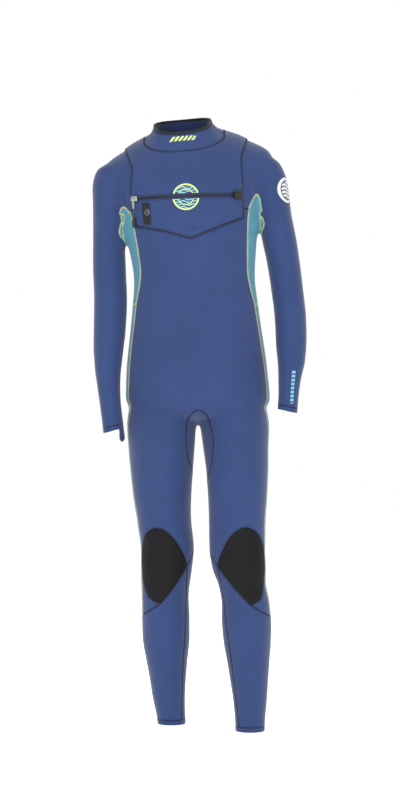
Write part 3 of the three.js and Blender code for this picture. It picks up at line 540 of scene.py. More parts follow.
def folded(points, normals):
    """Presses the folds into the skin, and lets the fabric between them stand a little proud."""
    depth = np.zeros(len(points))
    for line, face, width, amount in FOLDS:
        path = np.array(line, float) * MM
        near_face = np.clip(face * normals[:, 1] * 3 + 0.4, 0, 1)
        best = np.full(len(points), np.inf)
        along = np.zeros(len(points))
        flat = points[:, [0, 2]]
        for k in range(len(path) - 1):
            span = path[k + 1] - path[k]
            t = np.clip(((flat - path[k]) @ span) / (span @ span), 0, 1)
            distance = np.linalg.norm(flat - path[k] - t[:, None] * span, axis=1)
            closer = distance < best
            best = np.where(closer, distance, best)
            along = np.where(closer, (k + t) / (len(path) - 1), along)
        taper = np.sin(math.pi * np.clip(along * 0.84 + 0.08, 0, 1))
        reach = best / (width * MM)
        profile = np.exp(-(reach**2)) - 0.45 * np.exp(-((reach - 1.7) ** 2) * 1.6)
        depth += amount * MM * taper * near_face * profile
    x, y, z = (points / MM).T
    sway = np.sin(x / 31 + z / 47) * np.sin(z / 38 - y / 29) + 0.5 * np.sin(x / 17 - z / 23 + y / 19)
    return points - normals * (depth - 0.25 * MM * sway)[:, None]


skin_points, skin_triangles = skin_surface()
skin_points = folded(skin_points, vertex_normals(skin_points, skin_triangles))
skin_normals = vertex_normals(skin_points, skin_triangles)


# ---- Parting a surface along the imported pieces' edges -------------------------------------------------
class Finder:
    """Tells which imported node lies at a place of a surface."""

    def __init__(self, nodes, lift=0.0, open_ends=True):
        self.nodes = list(nodes)
        self.lift = lift
        self.open_ends = open_ends
        points, faces, self.owner = [], [], []
        for index, node in enumerate(self.nodes):
            p, t = arrays(bpy.data.objects[node].data)
            faces += (t + sum(len(q) for q in points)).tolist()
            points.append(p)
            self.owner += [index] * len(t)
        self.tree = BVHTree.FromPolygons(np.concatenate(points).tolist(), faces)

    def label(self, point, normal):
        """The node's number at a point of the skin, or -1 beside all of them."""
        normal = Vector(normal)
        place = Vector(point) + normal * self.lift
        if self.open_ends:
            across = normal.orthogonal().normalized() * 0.35 * MM
            other = normal.cross(across)
            start = place + normal * 5 * MM
            shifts = (Vector((0, 0, 0)), across, -across, other, -other)
            hits = (self.tree.ray_cast(start + shift, -normal, 8.5 * MM)[2] for shift in shifts)
            found = next((hit for hit in hits if hit is not None), None)
            if found is None:
                return -1
            if len(self.nodes) == 1:
                return 0
            direct = self.tree.ray_cast(start, -normal, 8.5 * MM)[2]
            if direct is not None:
                return self.owner[direct]
        return self.owner[self.tree.find_nearest(place)[2]]


def part(points, normals, triangles, label):
    """Cuts each triangle that has differing labels. Returns points, normals, triangles and their labels."""
    labels = np.array([label(p, n) for p, n in zip(points, normals)])
    corner = labels[triangles]
    whole = (corner[:, 0] == corner[:, 1]) & (corner[:, 1] == corner[:, 2])
    new_points, new_normals = list(points), list(normals)
    cuts = {}

    def crossing(i, j):
        key = (min(i, j), max(i, j))
        if key not in cuts:
            a, b = key
            low, high = 0.0, 1.0
            for _ in range(7):
                t = (low + high) / 2
                place = points[a] + (points[b] - points[a]) * t
                direction = normals[a] + (normals[b] - normals[a]) * t
                if label(place, direction / np.linalg.norm(direction)) == labels[a]:
                    low = t
                else:
                    high = t
            t = min(max((low + high) / 2, 0.06), 0.94)
            direction = normals[a] + (normals[b] - normals[a]) * t
            new_points.append(points[a] + (points[b] - points[a]) * t)
            new_normals.append(direction / np.linalg.norm(direction))
            cuts[key] = len(new_points) - 1
        return cuts[key]

    faces = [triangles[whole]]
    owners = [corner[whole, 0]]
    extra, extra_owner = [], []
    for triangle, (a, b, c) in zip(triangles[~whole], corner[~whole]):
        i, j, k = triangle
        if a != b and b != c and a != c:
            ij, jk, ki = crossing(i, j), crossing(j, k), crossing(k, i)
            new_points.append((new_points[ij] + new_points[jk] + new_points[ki]) / 3)
            direction = new_normals[ij] + new_normals[jk] + new_normals[ki]
            new_normals.append(direction / np.linalg.norm(direction))
            middle = len(new_points) - 1
            for one, two, three, owner in ((ki, i, ij, a), (ij, j, jk, b), (jk, k, ki, c)):
                extra += [(one, two, middle), (two, three, middle)]
                extra_owner += [owner, owner]
            continue
        if b == c:
            alone, left, right, own, rest = i, j, k, a, b
        elif a == c:
            alone, left, right, own, rest = j, k, i, b, c
        else:
            alone, left, right, own, rest = k, i, j, c, a
        first, last = crossing(alone, left), crossing(right, alone)
        extra += [(alone, first, last), (first, left, right), (first, right, last)]
        extra_owner += [own, rest, rest]
    if extra:
        faces.append(np.array(extra))
        owners.append(np.array(extra_owner))
    return np.array(new_points), np.array(new_normals), np.concatenate(faces), np.concatenate(owners)


def border_edges(triangles, owners):
    """Edges between differing labels, as rows of two points and two labels, -1 being outside."""
    around = np.concatenate([triangles[:, [0, 1]], triangles[:, [1, 2]], triangles[:, [2, 0]]])
    owner = np.tile(owners, 3)
    order = np.lexsort((around.max(axis=1), around.min(axis=1)))
    around, owner = np.sort(around[order], axis=1), owner[order]
    same = np.all(around[:-1] == around[1:], axis=1)
    paired = np.zeros(len(around), bool)
    paired[:-1] |= same
    paired[1:] |= same
    first = np.nonzero(same)[0]
    inner = np.column_stack([around[first], owner[first], owner[first + 1]])
    inner = inner[inner[:, 2] != inner[:, 3]]
    alone = np.nonzero(~paired)[0]
    outer = np.column_stack([around[alone], owner[alone], np.full(len(alone), -1)])
    return np.concatenate([inner, outer])


def chains(edges):
    """Edges joined into lines of point numbers; a line ends where three meet."""
    links = {}
    for a, b in edges:
        links.setdefault(int(a), []).append(int(b))
        links.setdefault(int(b), []).append(int(a))
    used, lines = set(), []

    def walk(start, step):
        line = [start]
        while True:
            used.add((min(start, step), max(start, step)))
            line.append(step)
            onward = [n for n in links[step] if (min(step, n), max(step, n)) not in used]
            if len(links[step]) != 2 or not onward:
                return line
            start, step = step, onward[0]

    for node in sorted(links, key=lambda n: (len(links[n]) == 2, n)):
        for other in links[node]:
            if (min(node, other), max(node, other)) not in used:
                lines.append(walk(node, other))
    return lines


def smooth_lines(points, lines, rounds=12):
    for line in lines:
        path = points[line]
        closed = line[0] == line[-1]
        for _ in range(rounds):
            if closed:
                ring = path[:-1]
                ring = ring / 2 + (np.roll(ring, 1, axis=0) + np.roll(ring, -1, axis=0)) / 4
                path = np.concatenate([ring, ring[:1]])
            elif len(path) > 2:
                path[1:-1] = path[1:-1] / 2 + (path[:-2] + path[2:]) / 4
        points[line] = path
    return points


def subdivided(points, normals, triangles):
    """Each triangle in four."""
    edges, _ = edges_of(triangles)
    number = {(int(a), int(b)): len(points) + k for k, (a, b) in enumerate(edges)}
    middle = (points[edges[:, 0]] + points[edges[:, 1]]) / 2
    direction = normals[edges[:, 0]] + normals[edges[:, 1]]
    direction /= np.linalg.norm(direction, axis=1)[:, None]
    faces = []
    for a, b, c in triangles.tolist():
        ab = number[(min(a, b), max(a, b))]
        bc = number[(min(b, c), max(b, c))]
        ca = number[(min(c, a), max(c, a))]
        faces += [(a, ab, ca), (ab, b, bc), (ca, bc, c), (ab, bc, ca)]
    return np.concatenate([points, middle]), np.concatenate([normals, direction]), np.array(faces)


def compact(points, normals, triangles):
    used, index = np.unique(triangles, return_inverse=True)
    return points[used], normals[used], index.reshape(triangles.shape)


def sheet_solid(name, points, normals, triangles, thickness, material, seam=None, gap=0.12 * MM, bulge=0.1):
    """A closed piece of even thickness below a patch, its edges drawn in by a gap and slightly rounded."""
    used, index = np.unique(triangles, return_inverse=True)
    faces = index.reshape(triangles.shape)
    top, normal = points[used].copy(), normals[used]
    # shade is the painted shade of the seam dips, copied to the rim rows below.
    shade = np.zeros(len(used)) if seam is None else seam[used]
    around = np.concatenate([faces[:, [0, 1]], faces[:, [1, 2]], faces[:, [2, 0]]])
    keys = np.sort(around, axis=1)
    _, first, counts = np.unique(keys, axis=0, return_index=True, return_counts=True)
    rim = around[first[counts == 1]]
    outwards = np.zeros_like(top)
    span = top[rim[:, 1]] - top[rim[:, 0]]
    side = np.cross(span, normal[rim[:, 0]])
    for column in (0, 1):
        np.add.at(outwards, rim[:, column], side)
    length = np.linalg.norm(outwards, axis=1)
    edge = np.nonzero(length > 0)[0]
    outwards[edge] /= length[edge][:, None]
    top -= outwards * gap
    count = len(top)
    row_of = {int(v): k for k, v in enumerate(edge)}
    steps = (0.25, 0.5, 0.75)
    rows = [top, top - normal * thickness]
    for turn in steps:
        angle = turn * math.pi
        drop = thickness * (1 - math.cos(angle)) / 2
        rows.append((top - normal * drop + outwards * (bulge * MM * math.sin(angle)))[edge])
    vertices = np.concatenate(rows)
    shades = np.concatenate([shade, shade] + [shade[edge]] * len(steps))
    result = faces.tolist() + (faces[:, ::-1] + count).tolist()
    base = 2 * count
    for a, b in rim.tolist():
        column_a = [a] + [base + k * len(edge) + row_of[a] for k in range(len(steps))] + [a + count]
        column_b = [b] + [base + k * len(edge) + row_of[b] for k in range(len(steps))] + [b + count]
        for k in range(len(steps) + 1):
            result.append((column_b[k], column_a[k], column_a[k + 1], column_b[k + 1]))
    return new_object(name, vertices, result, material, shades)


# ---- Panels -------------------------------------------------------------------------------------------
TEAL_PIECES = [f"{kind}_{side}" for kind in ("side_panel", "hip_strip", "underarm_gusset") for side in SIDES]
BLUE_PIECES = ["front_body_panel", "back_panel", "seat_panel", "crotch_gusset"] + [
    f"{kind}_{side}"
    for kind in ("rear_thigh", "shin_panel", "calf_panel", "ankle_hem", "wrist_hem", "sleeve")
    for side in SIDES
]
KNEE_PIECES = [f"knee_pad_{side}" for side in SIDES]
SKIN_PIECES = BLUE_PIECES + TEAL_PIECES + KNEE_PIECES + ["inner_bib"]
LOOK = {node: ("blue", "blue_jersey") for node in BLUE_PIECES}
LOOK |= {node: ("teal", "teal_jersey") for node in TEAL_PIECES}
LOOK |= {node: ("knee", "knee_rubber") for node in KNEE_PIECES}
LOOK["inner_bib"] = ("navy", "navy_jersey")

ankle_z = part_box("ankle_hem_right")[0][2]
skin_finder = Finder(SKIN_PIECES, open_ends=False)


def inside_outline(x, z, outline):
    """True if a point of the front view lies inside an outline, both in millimetres."""
    inside = False
    for (x0, z0), (x1, z1) in zip(outline, outline[1:] + outline[:1]):
        if (z0 > z) != (z1 > z) and x < x0 + (z - z0) / (z1 - z0) * (x1 - x0):
            inside = not inside
    return inside


def skin_label(point, normal):
    x, y, z = point
    if z < ankle_z:
        return -1
    if z < -0.48 and (x < -0.118 or x > 0.172):
        side = "right" if x < 0 else "left"
        height, slope = WRIST[side]
        middle = np.mean([corner[0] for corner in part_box(f"wrist_hem_{side}")])
        if z < height * MM + slope * (x - middle):
            return -1
    place = Vector(point)
    _, _, face, distance = skin_finder.tree.find_nearest(place)
    if z > -0.06 and abs(x) < 0.08 and distance > 1.9 * MM:
        return -1
    owner = skin_finder.owner[face]
    for side in SIDES:
        at_front = y < -8 * MM and SKIN_PIECES[owner] == f"sleeve_{side}"
        if at_front and inside_outline(x / MM, z / MM, TEAL_TIP[side]):
            return SKIN_PIECES.index(f"side_panel_{side}")
    return owner


points, normals, triangles, owners = part(skin_points, skin_normals, skin_triangles, skin_label)
borders = border_edges(triangles, owners)
border_sets = {}
for a, b, one, two in borders:
    border_sets.setdefault((min(one, two), max(one, two)), []).append((a, b))
seam_lines = {pair: chains(edges) for pair, edges in sorted(border_sets.items())}
for lines in seam_lines.values():
    points = smooth_lines(points, lines)

SEAM_REACH = 4.5 * MM
seam_tree = KDTree(len(borders))
for k, (a, b, _, _) in enumerate(borders):
    seam_tree.insert(Vector((points[a] + points[b]) / 2), k)
seam_tree.balance()
seam_distance = np.array([seam_tree.find(Vector(p))[2] for p in points])
# closeness sets both the dip pressed into the panels along the seams and the painted shade there.
closeness = np.clip(1 - seam_distance / SEAM_REACH, 0, 1)
panel_points = points - normals * (0.55 * MM * closeness**2)[:, None]
panel_normals = normals
KNEE_RAISE = 0.7 * MM

skin_objects = {}
for number, node in enumerate(SKIN_PIECES):
    faces = triangles[owners == number]
    if not len(faces):
        raise RuntimeError(f"no skin for {node}")
    material, slot = LOOK[node]
    surface = panel_points
    if node in KNEE_PIECES:
        rise = np.clip(seam_distance / (3 * MM), 0, 1)
        surface = panel_points + normals * (KNEE_RAISE * rise)[:, None]
    # The last value is painted shade, darker towards the seams.
    piece = sheet_solid(node + "_fabric", surface, panel_normals, faces, WALL, material, closeness**2 * 0.7)
    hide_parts(node)
    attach(piece, "suit")
    skin_objects[node] = piece


# ---- The chest layer: flap, collar and lower zip panel ------------------------------------------------
def patch(low, high, front=False, levels=1):
    """The skin's faces inside a box, in finer triangles; front keeps those that face -Y."""
    middle = skin_points[skin_triangles].mean(axis=1)
    inside = np.all((middle > np.array(low)) & (middle < np.array(high)), axis=1)
    if front:
        inside &= skin_normals[skin_triangles].mean(axis=1)[:, 1] < 0.15
    points, normals, triangles = compact(skin_points, skin_normals, skin_triangles[inside])
    for _ in range(levels):
        points, normals, triangles = subdivided(points, normals, triangles)
        edges, _ = edges_of(triangles)
        points = relax(points, edges, 0.35, 2)
    return points, vertex_normals(points, triangles), triangles


def grown(boxes, margin):
    low = np.min([box[0] for box in boxes], axis=0) - margin
    high = np.max([box[1] for box in boxes], axis=0) + margin
    return low, high


def lifted_pieces(nodes, lift, front=False, levels=1, rounds=8, depth=8 * MM, shown=None, pattern=None):
    """Parts the skin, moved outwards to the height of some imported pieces' faces, along their edges.

    Shown is the height of the result, where it isn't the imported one. A pattern leaves out places.
    """
    low, high = grown([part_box(node) for node in nodes], depth)
    points, normals, triangles = patch(low, high, front, levels)
    finder = Finder(nodes, lift=lift)

    def label(point, normal):
        if pattern and not pattern(point):
            return -1
        return finder.label(point, normal)

    points, normals, triangles, owners = part(points, normals, triangles, label)
    found = border_edges(triangles, owners)
    keep = np.any(found[:, 2:] >= 0, axis=1) & np.all(found[:, 2:] >= -1, axis=1)
    sets = {}
    for a, b, one, two in found[keep]:
        sets.setdefault((min(one, two), max(one, two)), []).append((a, b))
    lines = {pair: chains(edges) for pair, edges in sorted(sets.items())}
    for group in lines.values():
        points = smooth_lines(points, group, rounds)
    height = lift if shown is None else shown
    return points + normals * height, normals, triangles, owners, lines


CHEST = ["chest_flap_panel", "collar_front", "collar_back", "lower_zip_panel", "collar_binding"]
CHEST_LOOK = {
    "chest_flap_panel": ("blue", "blue_jersey", "chest_flap"),
    "collar_front": ("blue", "blue_jersey", "chest_flap"),
    "collar_back": ("blue", "blue_jersey", "chest_flap"),
    "collar_binding": ("binding", "black_webbing", "chest_flap"),
    "lower_zip_panel": ("blue", "blue_jersey", "suit"),
}
chest_points, chest_normals, chest_triangles, chest_owners, chest_lines = lifted_pieces(CHEST, OUTER)
chest_edges = [line for group in chest_lines.values() for line in group]
edge_points = np.concatenate([chest_points[line] for line in chest_edges])
edge_tree = KDTree(len(edge_points))
for k, place in enumerate(edge_points):
    edge_tree.insert(Vector(place), k)
edge_tree.balance()
edge_distance = np.array([edge_tree.find(Vector(p))[2] for p in chest_points])
# edge_closeness sets both the dip pressed in along the chest layer's edges and the painted shade there.
edge_closeness = np.clip(1 - edge_distance / SEAM_REACH, 0, 1)
pressed = chest_points - chest_normals * (0.45 * MM * edge_closeness**2)[:, None]
for number, node in enumerate(CHEST):
    material, slot, body = CHEST_LOOK[node]
    surface = pressed
    if node == "collar_binding":
        surface = chest_points + chest_normals * 0.5 * MM
    faces = chest_triangles[chest_owners == number]
    # edge_closeness**2 * 0.6 is painted shade, darker towards the pressed edges.
    piece = sheet_solid(
        node + "_fabric", surface, chest_normals, faces, WALL, material, edge_closeness**2 * 0.6, bulge=0.35
    )
    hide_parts(node)
    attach(piece, body)


# ---- Stitching ----------------------------------------------------------------------------------------
def resampled(points, normals, line, step):
    """Places along a line, an even step apart, with the surface's normals there."""
    path, across = points[line], normals[line]
    length = np.concatenate([[0], np.cumsum(np.linalg.norm(np.diff(path, axis=0), axis=1))])
    count = max(2, int(round(length[-1] / step)) + 1)
    at = np.linspace(0, length[-1], count)
    places = np.column_stack([np.interp(at, length, path[:, k]) for k in range(3)])
    ups = np.column_stack([np.interp(at, length, across[:, k]) for k in range(3)])
    ups /= np.linalg.norm(ups, axis=1)[:, None]
    ahead = np.gradient(places, axis=0)
    ahead /= np.maximum(np.linalg.norm(ahead, axis=1), 1e-9)[:, None]
    sides = np.cross(ups, ahead)
    sides /= np.maximum(np.linalg.norm(sides, axis=1), 1e-9)[:, None]
    return places, ups, sides


class Sewing:
    """One mesh of thread that grows line by line."""

    def __init__(self):
        self.vertices, self.faces = [], []

    def strand(self, path, ups, radius, sides=5):
        ahead = np.gradient(path, axis=0)
        ahead /= np.maximum(np.linalg.norm(ahead, axis=1), 1e-9)[:, None]
        left = np.cross(ups, ahead)
        left /= np.maximum(np.linalg.norm(left, axis=1), 1e-9)[:, None]
        start, count = len(self.vertices), len(path)
        for turn in range(sides):
            angle = 2 * math.pi * turn / sides
            self.vertices += (path + radius * (left * math.cos(angle) + ups * math.sin(angle))).tolist()
        for turn in range(sides):
            one, two = start + turn * count, start + (turn + 1) % sides * count
            self.faces += [(one + i, one + i + 1, two + i + 1, two + i) for i in range(count - 1)]
        self.faces.append([start + turn * count for turn in range(sides)])
        self.faces.append([start + turn * count + count - 1 for turn in reversed(range(sides))])

    def band(self, places, ups, sides, half, height, low=-0.25 * MM):
        """A low crowned strip along the line, closed below."""
        profile = [(-1, 0), (-0.72, 0.75), (0, 1), (0.72, 0.75), (1, 0)]
        start, count, rows = len(self.vertices), len(places), len(profile)
        for across, up in profile:
            self.vertices += (places + sides * half * across + ups * (low + (height - low) * up)).tolist()
        for row in range(rows):
            one, two = start + row * count, start + (row + 1) % rows * count
            self.faces += [(one + i, one + i + 1, two + i + 1, two + i) for i in range(count - 1)]
        self.faces.append([start + row * count for row in range(rows)])
        self.faces.append([start + row * count + count - 1 for row in reversed(range(rows))])

    def flatlock(self, points, normals, line, half, pitch=2.4 * MM, band=True, lift=0.0):
        """A cover stitch: a low band, a zigzag over it and a needle line along each side."""
        places, ups, sides = resampled(points, normals, line, pitch / 2)
        if len(places) < 4:
            return
        places = places + ups * lift
        if band:
            self.band(places, ups, sides, half, 0.16 * MM)
        swing = np.where(np.arange(len(places)) % 2 == 0, 1.0, -1.0)[:, None]
        self.strand(places + sides * half * 0.8 * swing + ups * 0.3 * MM, ups, 0.26 * MM, 4)
        for side in (-1, 1):
            arch = np.where(np.arange(len(places)) % 2 == 0, 0.34, 0.12)[:, None] * MM
            self.strand(places + sides * half * side + ups * arch, ups, 0.27 * MM, 4)

    def finish(self, name, material, slot, body):
        piece = new_object(name, self.vertices, self.faces, material)
        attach(piece, body)
        return piece


navy_sewing, khaki_sewing = Sewing(), Sewing()
FLATLOCK_HALF = 1.7 * MM  # half the width of a stitched band, at the teal panels
PLAIN_HALF = 1.45 * MM
HEM_HALF = 0.7 * MM
TEAL_NUMBERS = {SKIN_PIECES.index(node) for node in TEAL_PIECES}
HEM_NUMBERS = {SKIN_PIECES.index(f"{kind}_{side}") for kind in ("ankle_hem", "wrist_hem") for side in SIDES}
for (one, two), lines in seam_lines.items():
    if one < 0:
        continue
    teal = (one in TEAL_NUMBERS) or (two in TEAL_NUMBERS)
    for line in lines:
        if len(line) < 5:
            continue
        if one in HEM_NUMBERS or two in HEM_NUMBERS:
            navy_sewing.flatlock(panel_points, panel_normals, line, HEM_HALF, band=False)
        elif teal:
            khaki_sewing.flatlock(panel_points, panel_normals, line, FLATLOCK_HALF)
        else:
            navy_sewing.flatlock(panel_points, panel_normals, line, PLAIN_HALF)

# The chest layer's edges: a wide cover stitch at the collar and the V seam, a narrow one elsewhere.
FLAP, COLLAR_FRONT, COLLAR_BACK, LOWER, BINDING = range(len(CHEST))
ZIP_NEAR = 9 * MM
WIDE_HALF = 2.1 * MM
NARROW_HALF = 1.15 * MM
flap_sewing = Sewing()


def zip_height(x):
    tape_low, tape_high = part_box("zip_tape_lower"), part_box("zip_tape_upper")
    middle = (tape_low[1][2] + tape_high[0][2]) / 2
    return middle + ZIP_SLOPE * (x - (tape_low[0][0] + tape_low[1][0]) / 2)


ZIP_SLOPE = 0.035


def runs(line, keep):
    """The stretches of a line whose points satisfy keep."""
    found, run = [], []
    for number in line:
        if keep(chest_points[number]):
            run.append(number)
        elif run:
            found.append(run)
            run = []
    return [stretch for stretch in found + [run] if len(stretch) > 5]


def near_zip(place):
    return place[1] < -0.02 and abs(place[2] - zip_height(place[0])) < ZIP_NEAR


for (one, two), lines in chest_lines.items():
    for line in lines:
        if len(line) < 6 or BINDING in (one, two):
            continue
        if (one, two) in ((FLAP, COLLAR_FRONT), (FLAP, COLLAR_BACK)):
            flap_sewing.flatlock(pressed, chest_normals, line, WIDE_HALF)
        elif (one, two) == (COLLAR_FRONT, COLLAR_BACK):
            flap_sewing.flatlock(pressed, chest_normals, line, NARROW_HALF)
        elif (one, two) == (-1, FLAP):
            for run in runs(line, lambda place: not near_zip(place)):
                flap_sewing.flatlock(pressed, chest_normals, run, NARROW_HALF)
        elif (one, two) == (-1, LOWER):
            v_seam = runs(line, lambda p: not near_zip(p) and zip_height(p[0]) - p[2] > 30 * MM)
            for run in v_seam:
                navy_sewing.flatlock(pressed, chest_normals, run, WIDE_HALF)
            for run in runs(line, lambda p: not near_zip(p) and zip_height(p[0]) - p[2] <= 30 * MM):
                navy_sewing.flatlock(pressed, chest_normals, run, NARROW_HALF)
flap_sewing.finish("flap_stitching", "navy_thread", "navy_jersey", "chest_flap")
navy_sewing.finish("seam_stitching_navy", "navy_thread", "navy_jersey", "suit")
khaki_sewing.finish("seam_stitching_khaki", "khaki_thread", "lime_print", "suit")

# ---- Zip: an arc across the chest ---------------------------------------------------------------------
joints = {joint["name"]: joint for joint in frame["record"]["behaviour"]["joints"]}
arc_centre = np.array(joints["slider_travel"]["pos_m"])
arc_up = np.array(joints["slider_travel"]["axis"])
arc_up = arc_up / np.linalg.norm(arc_up)
arc_x = np.array([arc_up[2], 0, -arc_up[0]])
ARC_RADIUS = 188.3 * MM
ARC_X = 12.5 * MM  # the arc's middle along the zip
SLIDER_X = -89 * MM
CLASP_X = 101 * MM


def arc_axes(x):
    """Along the zip, outwards and up, at a place on the arc."""
    angle = math.asin((x - ARC_X) / ARC_RADIUS)
    outwards = math.sin(angle) * arc_x - math.cos(angle) * np.array([0, 1, 0])
    along = math.cos(angle) * arc_x + math.sin(angle) * np.array([0, 1, 0])
    return along, outwards, arc_up


def arc_place(x, lift, across):
    _, outwards, up = arc_axes(x)
    return arc_centre + outwards * (ARC_RADIUS + lift) + up * across


def chamfered_block(vertices, faces, place, axes, half, chamfer):
    """Adds a block with bevelled edges: three axes, three half-sizes."""
    start = len(vertices)
    index = {}
    for corner in np.ndindex(2, 2, 2):
        sign = np.array(corner) * 2 - 1
        for inset in range(3):
            reach = np.array(half) - chamfer
            reach[inset] = half[inset]
            local = sign * reach
            index[corner, inset] = start + len(index)
            vertices.append(tuple(place + sum(local[k] * axes[k] for k in range(3))))
    for axis in range(3):
        u, v = (axis + 1) % 3, (axis + 2) % 3
        for end in (0, 1):
            ring = []
            for a, b in ((0, 0), (1, 0), (1, 1), (0, 1)):
                corner = [0, 0, 0]
                corner[axis], corner[u], corner[v] = end, a, b
                ring.append(index[tuple(corner), axis])
            faces.append(ring if end else ring[::-1])
        for a, b in ((0, 0), (1, 0), (1, 1), (0, 1)):
            low, high = [0, 0, 0], [0, 0, 0]
            low[u] = high[u] = a
            low[v] = high[v] = b
            high[axis] = 1
            strip = [index[tuple(low), u], index[tuple(high), u], index[tuple(high), v], index[tuple(low), v]]
            faces.append(strip if a == b else strip[::-1])
    for corner in np.ndindex(2, 2, 2):
        triangle = [index[corner, k] for k in range(3)]
        faces.append(triangle if sum(corner) % 2 else triangle[::-1])


def zip_chain(name, node, start, end, side, shift, body):
    """Moulded teeth on a bead; side is 1 above the middle and -1 below it."""
    sewing = Sewing()
    path = np.array([arc_place(x, 2.9 * MM, side * 1.55 * MM) for x in np.arange(start, end, 3 * MM)])
    ups = np.array([arc_axes(x)[1] for x in np.arange(start, end, 3 * MM)])
    sewing.strand(path, ups, 0.55 * MM, 8)
    vertices, faces = sewing.vertices, sewing.faces
    pitch = 2.3 * MM
    for x in np.arange(start + pitch + shift * pitch, end - pitch, pitch):
        along, outwards, up = arc_axes(x)
        place = arc_place(x, 3.35 * MM, side * 0.72 * MM)
        chamfered_block(vertices, faces, place, (along, outwards, up), (0.5e-3, 0.72e-3, 1.05e-3), 0.2e-3)
    piece = new_object(name, vertices, faces, "teeth")
    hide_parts(node)
    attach(piece, body)


zip_chain("zip_teeth_lower", "zip_chain_lower", -97.5 * MM, 90.5 * MM, -1, 0.0, "suit")
zip_chain("zip_teeth_upper", "zip_chain_upper", -80.5 * MM, 70.5 * MM, 1, 0.5, "chest_flap")


def zip_tape(name, node, side, body):
    """A woven strip with a thicker inner edge, below the lip of the flap or of the lower panel."""
    places = np.arange(-97.8 * MM, 90.8 * MM, 2.5 * MM)
    profile = [
        (0.55, 2.15), (0.8, 2.3), (1.3, 2.3), (1.6, 2.05),
        (4.6, 2.05), (4.75, 1.7), (4.6, 1.3), (0.7, 1.3),
    ]
    vertices, faces = [], []
    for across, lift in profile:
        vertices += [tuple(arc_place(x, lift * MM, side * across * MM)) for x in places]
    count, rows = len(places), len(profile)
    for row in range(rows):
        one, two = row * count, (row + 1) % rows * count
        for i in range(count - 1):
            quad = (one + i, one + i + 1, two + i + 1, two + i)
            faces.append(quad if side < 0 else quad[::-1])
    ends = [row * count for row in range(rows)]
    faces.append(ends if side < 0 else ends[::-1])
    faces.append([e + count - 1 for e in (reversed(ends) if side < 0 else ends)])
    piece = new_object(name, vertices, faces, "tape")
    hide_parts(node)
    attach(piece, body)


zip_tape("zip_tape_lower_weave", "zip_tape_lower", -1, "suit")
zip_tape("zip_tape_upper_weave", "zip_tape_upper", 1, "chest_flap")


def lathe(name, place, axis, profile, material, segments=36, sharp=50):
    """Turns a profile of (radius, height) in millimetres about an axis, closed on it or on itself."""
    axis = np.array(axis) / np.linalg.norm(axis)
    side = np.array(Vector(axis).orthogonal().normalized())
    other = np.cross(axis, side)
    ring = profile[0][0] > 0
    vertices, rows = [], []
    for radius, height in profile:
        if radius == 0:
            rows.append([len(vertices)] * segments)
            vertices.append(place + axis * height * MM)
            continue
        rows.append(list(range(len(vertices), len(vertices) + segments)))
        for k in range(segments):
            angle = 2 * math.pi * k / segments
            spoke = side * math.cos(angle) + other * math.sin(angle)
            vertices.append(place + axis * height * MM + spoke * radius * MM)
    faces = []
    pairs = list(zip(rows, rows[1:])) + ([(rows[-1], rows[0])] if ring else [])
    for inner, outer in pairs:
        for k in range(segments):
            n = (k + 1) % segments
            face = [inner[k], outer[k], outer[n], inner[n]]
            face = list(dict.fromkeys(face))
            if len(face) > 2:
                faces.append(face)
    return new_object(name, vertices, faces, material, sharp_angle=sharp)


skin_tree = KDTree(len(skin_points))
for k, place in enumerate(skin_points):
    skin_tree.insert(Vector(place), k)
skin_tree.balance()


def middle_of(node):
    low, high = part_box(node)
    return (np.array(low) + np.array(high)) / 2


def skin_below(place):
    """The point and normal of the skin under a place."""
    number = skin_tree.find(Vector(place))[1]
    normal = skin_normals[number]
    point = np.array(place) - normal * float(np.dot(np.array(place) - skin_points[number], normal))
    return point, normal


# ---- Strap, snap, eyelets and clasp -------------------------------------------------------------------
STRAP_FACE = 4.8 * MM
strap_points, strap_normals, strap_triangles, strap_owners, strap_lines = lifted_pieces(
    ["keeper_strap"], STRAP_FACE, front=True, levels=2, rounds=14, depth=6 * MM
)
strap_faces = strap_triangles[strap_owners == 0]
strap = sheet_solid(
    "keeper_strap_webbing", strap_points, strap_normals, strap_faces, 1.2 * MM, "webbing", gap=0.0, bulge=0.3
)
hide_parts("keeper_strap")
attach(strap, "strap")
strap_low, strap_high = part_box("keeper_strap")
strap_sewing = Sewing()
strap_middle = (strap_low[0] + strap_high[0]) / 2
for across in (-4.6, 4.6):
    heights = np.arange(strap_low[2] + 4 * MM, strap_high[2] - 2 * MM, 1.6 * MM)
    path, ups = [], []
    for k, z in enumerate(heights):
        lean = (z - (strap_low[2] + strap_high[2]) / 2) * -0.0875
        place, normal = skin_below((strap_middle + across * MM + lean, strap_low[1], z))
        path.append(place + normal * (STRAP_FACE + (0.3 if k % 2 else 0.05) * MM))
        ups.append(normal)
    strap_sewing.strand(np.array(path), np.array(ups), 0.25 * MM, 5)
strap_sewing.finish("keeper_strap_stitching", "navy_thread", "navy_jersey", "strap")

cap_place, cap_normal = skin_below(middle_of("snap_cap"))
CAP_PROFILE = [
    (0, 1.15), (1.6, 1.2), (2.4, 1.45), (3.6, 1.75), (4.7, 1.62), (5.3, 1.2),
    (5.6, 0.85), (6.2, 0.75), (6.5, 0.4), (6.4, 0.0), (0, 0.0),
]
cap = lathe("snap_cap_dome", cap_place + cap_normal * 5.1 * MM, cap_normal, CAP_PROFILE, "gunmetal", 48)
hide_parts("snap_cap")
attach(cap, "strap")

for number in (1, 2, 3):
    node = f"drain_eyelet_{number}"
    eye_place, eye_normal = skin_below(middle_of(node))
    eye_place = eye_place + eye_normal * 3.55 * MM
    ring_profile = [
        (1.25 + 0.45 * math.cos(t), 0.12 + 0.32 * math.sin(t))
        for t in np.linspace(0, -2 * math.pi, 12, False)
    ]
    eyelet = lathe(node + "_ring", eye_place, eye_normal, ring_profile, "plastic", 28)
    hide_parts(node)
    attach(eyelet, "suit")
    hole = lathe(
        node + "_hole", eye_place - eye_normal * 0.3 * MM, eye_normal,
        [(0, 0.2), (0.5, 0.15), (0.8, 0.25), (0.85, 0.0), (0, -0.1)], "teeth", 20,
    )
    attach(hole, "suit")


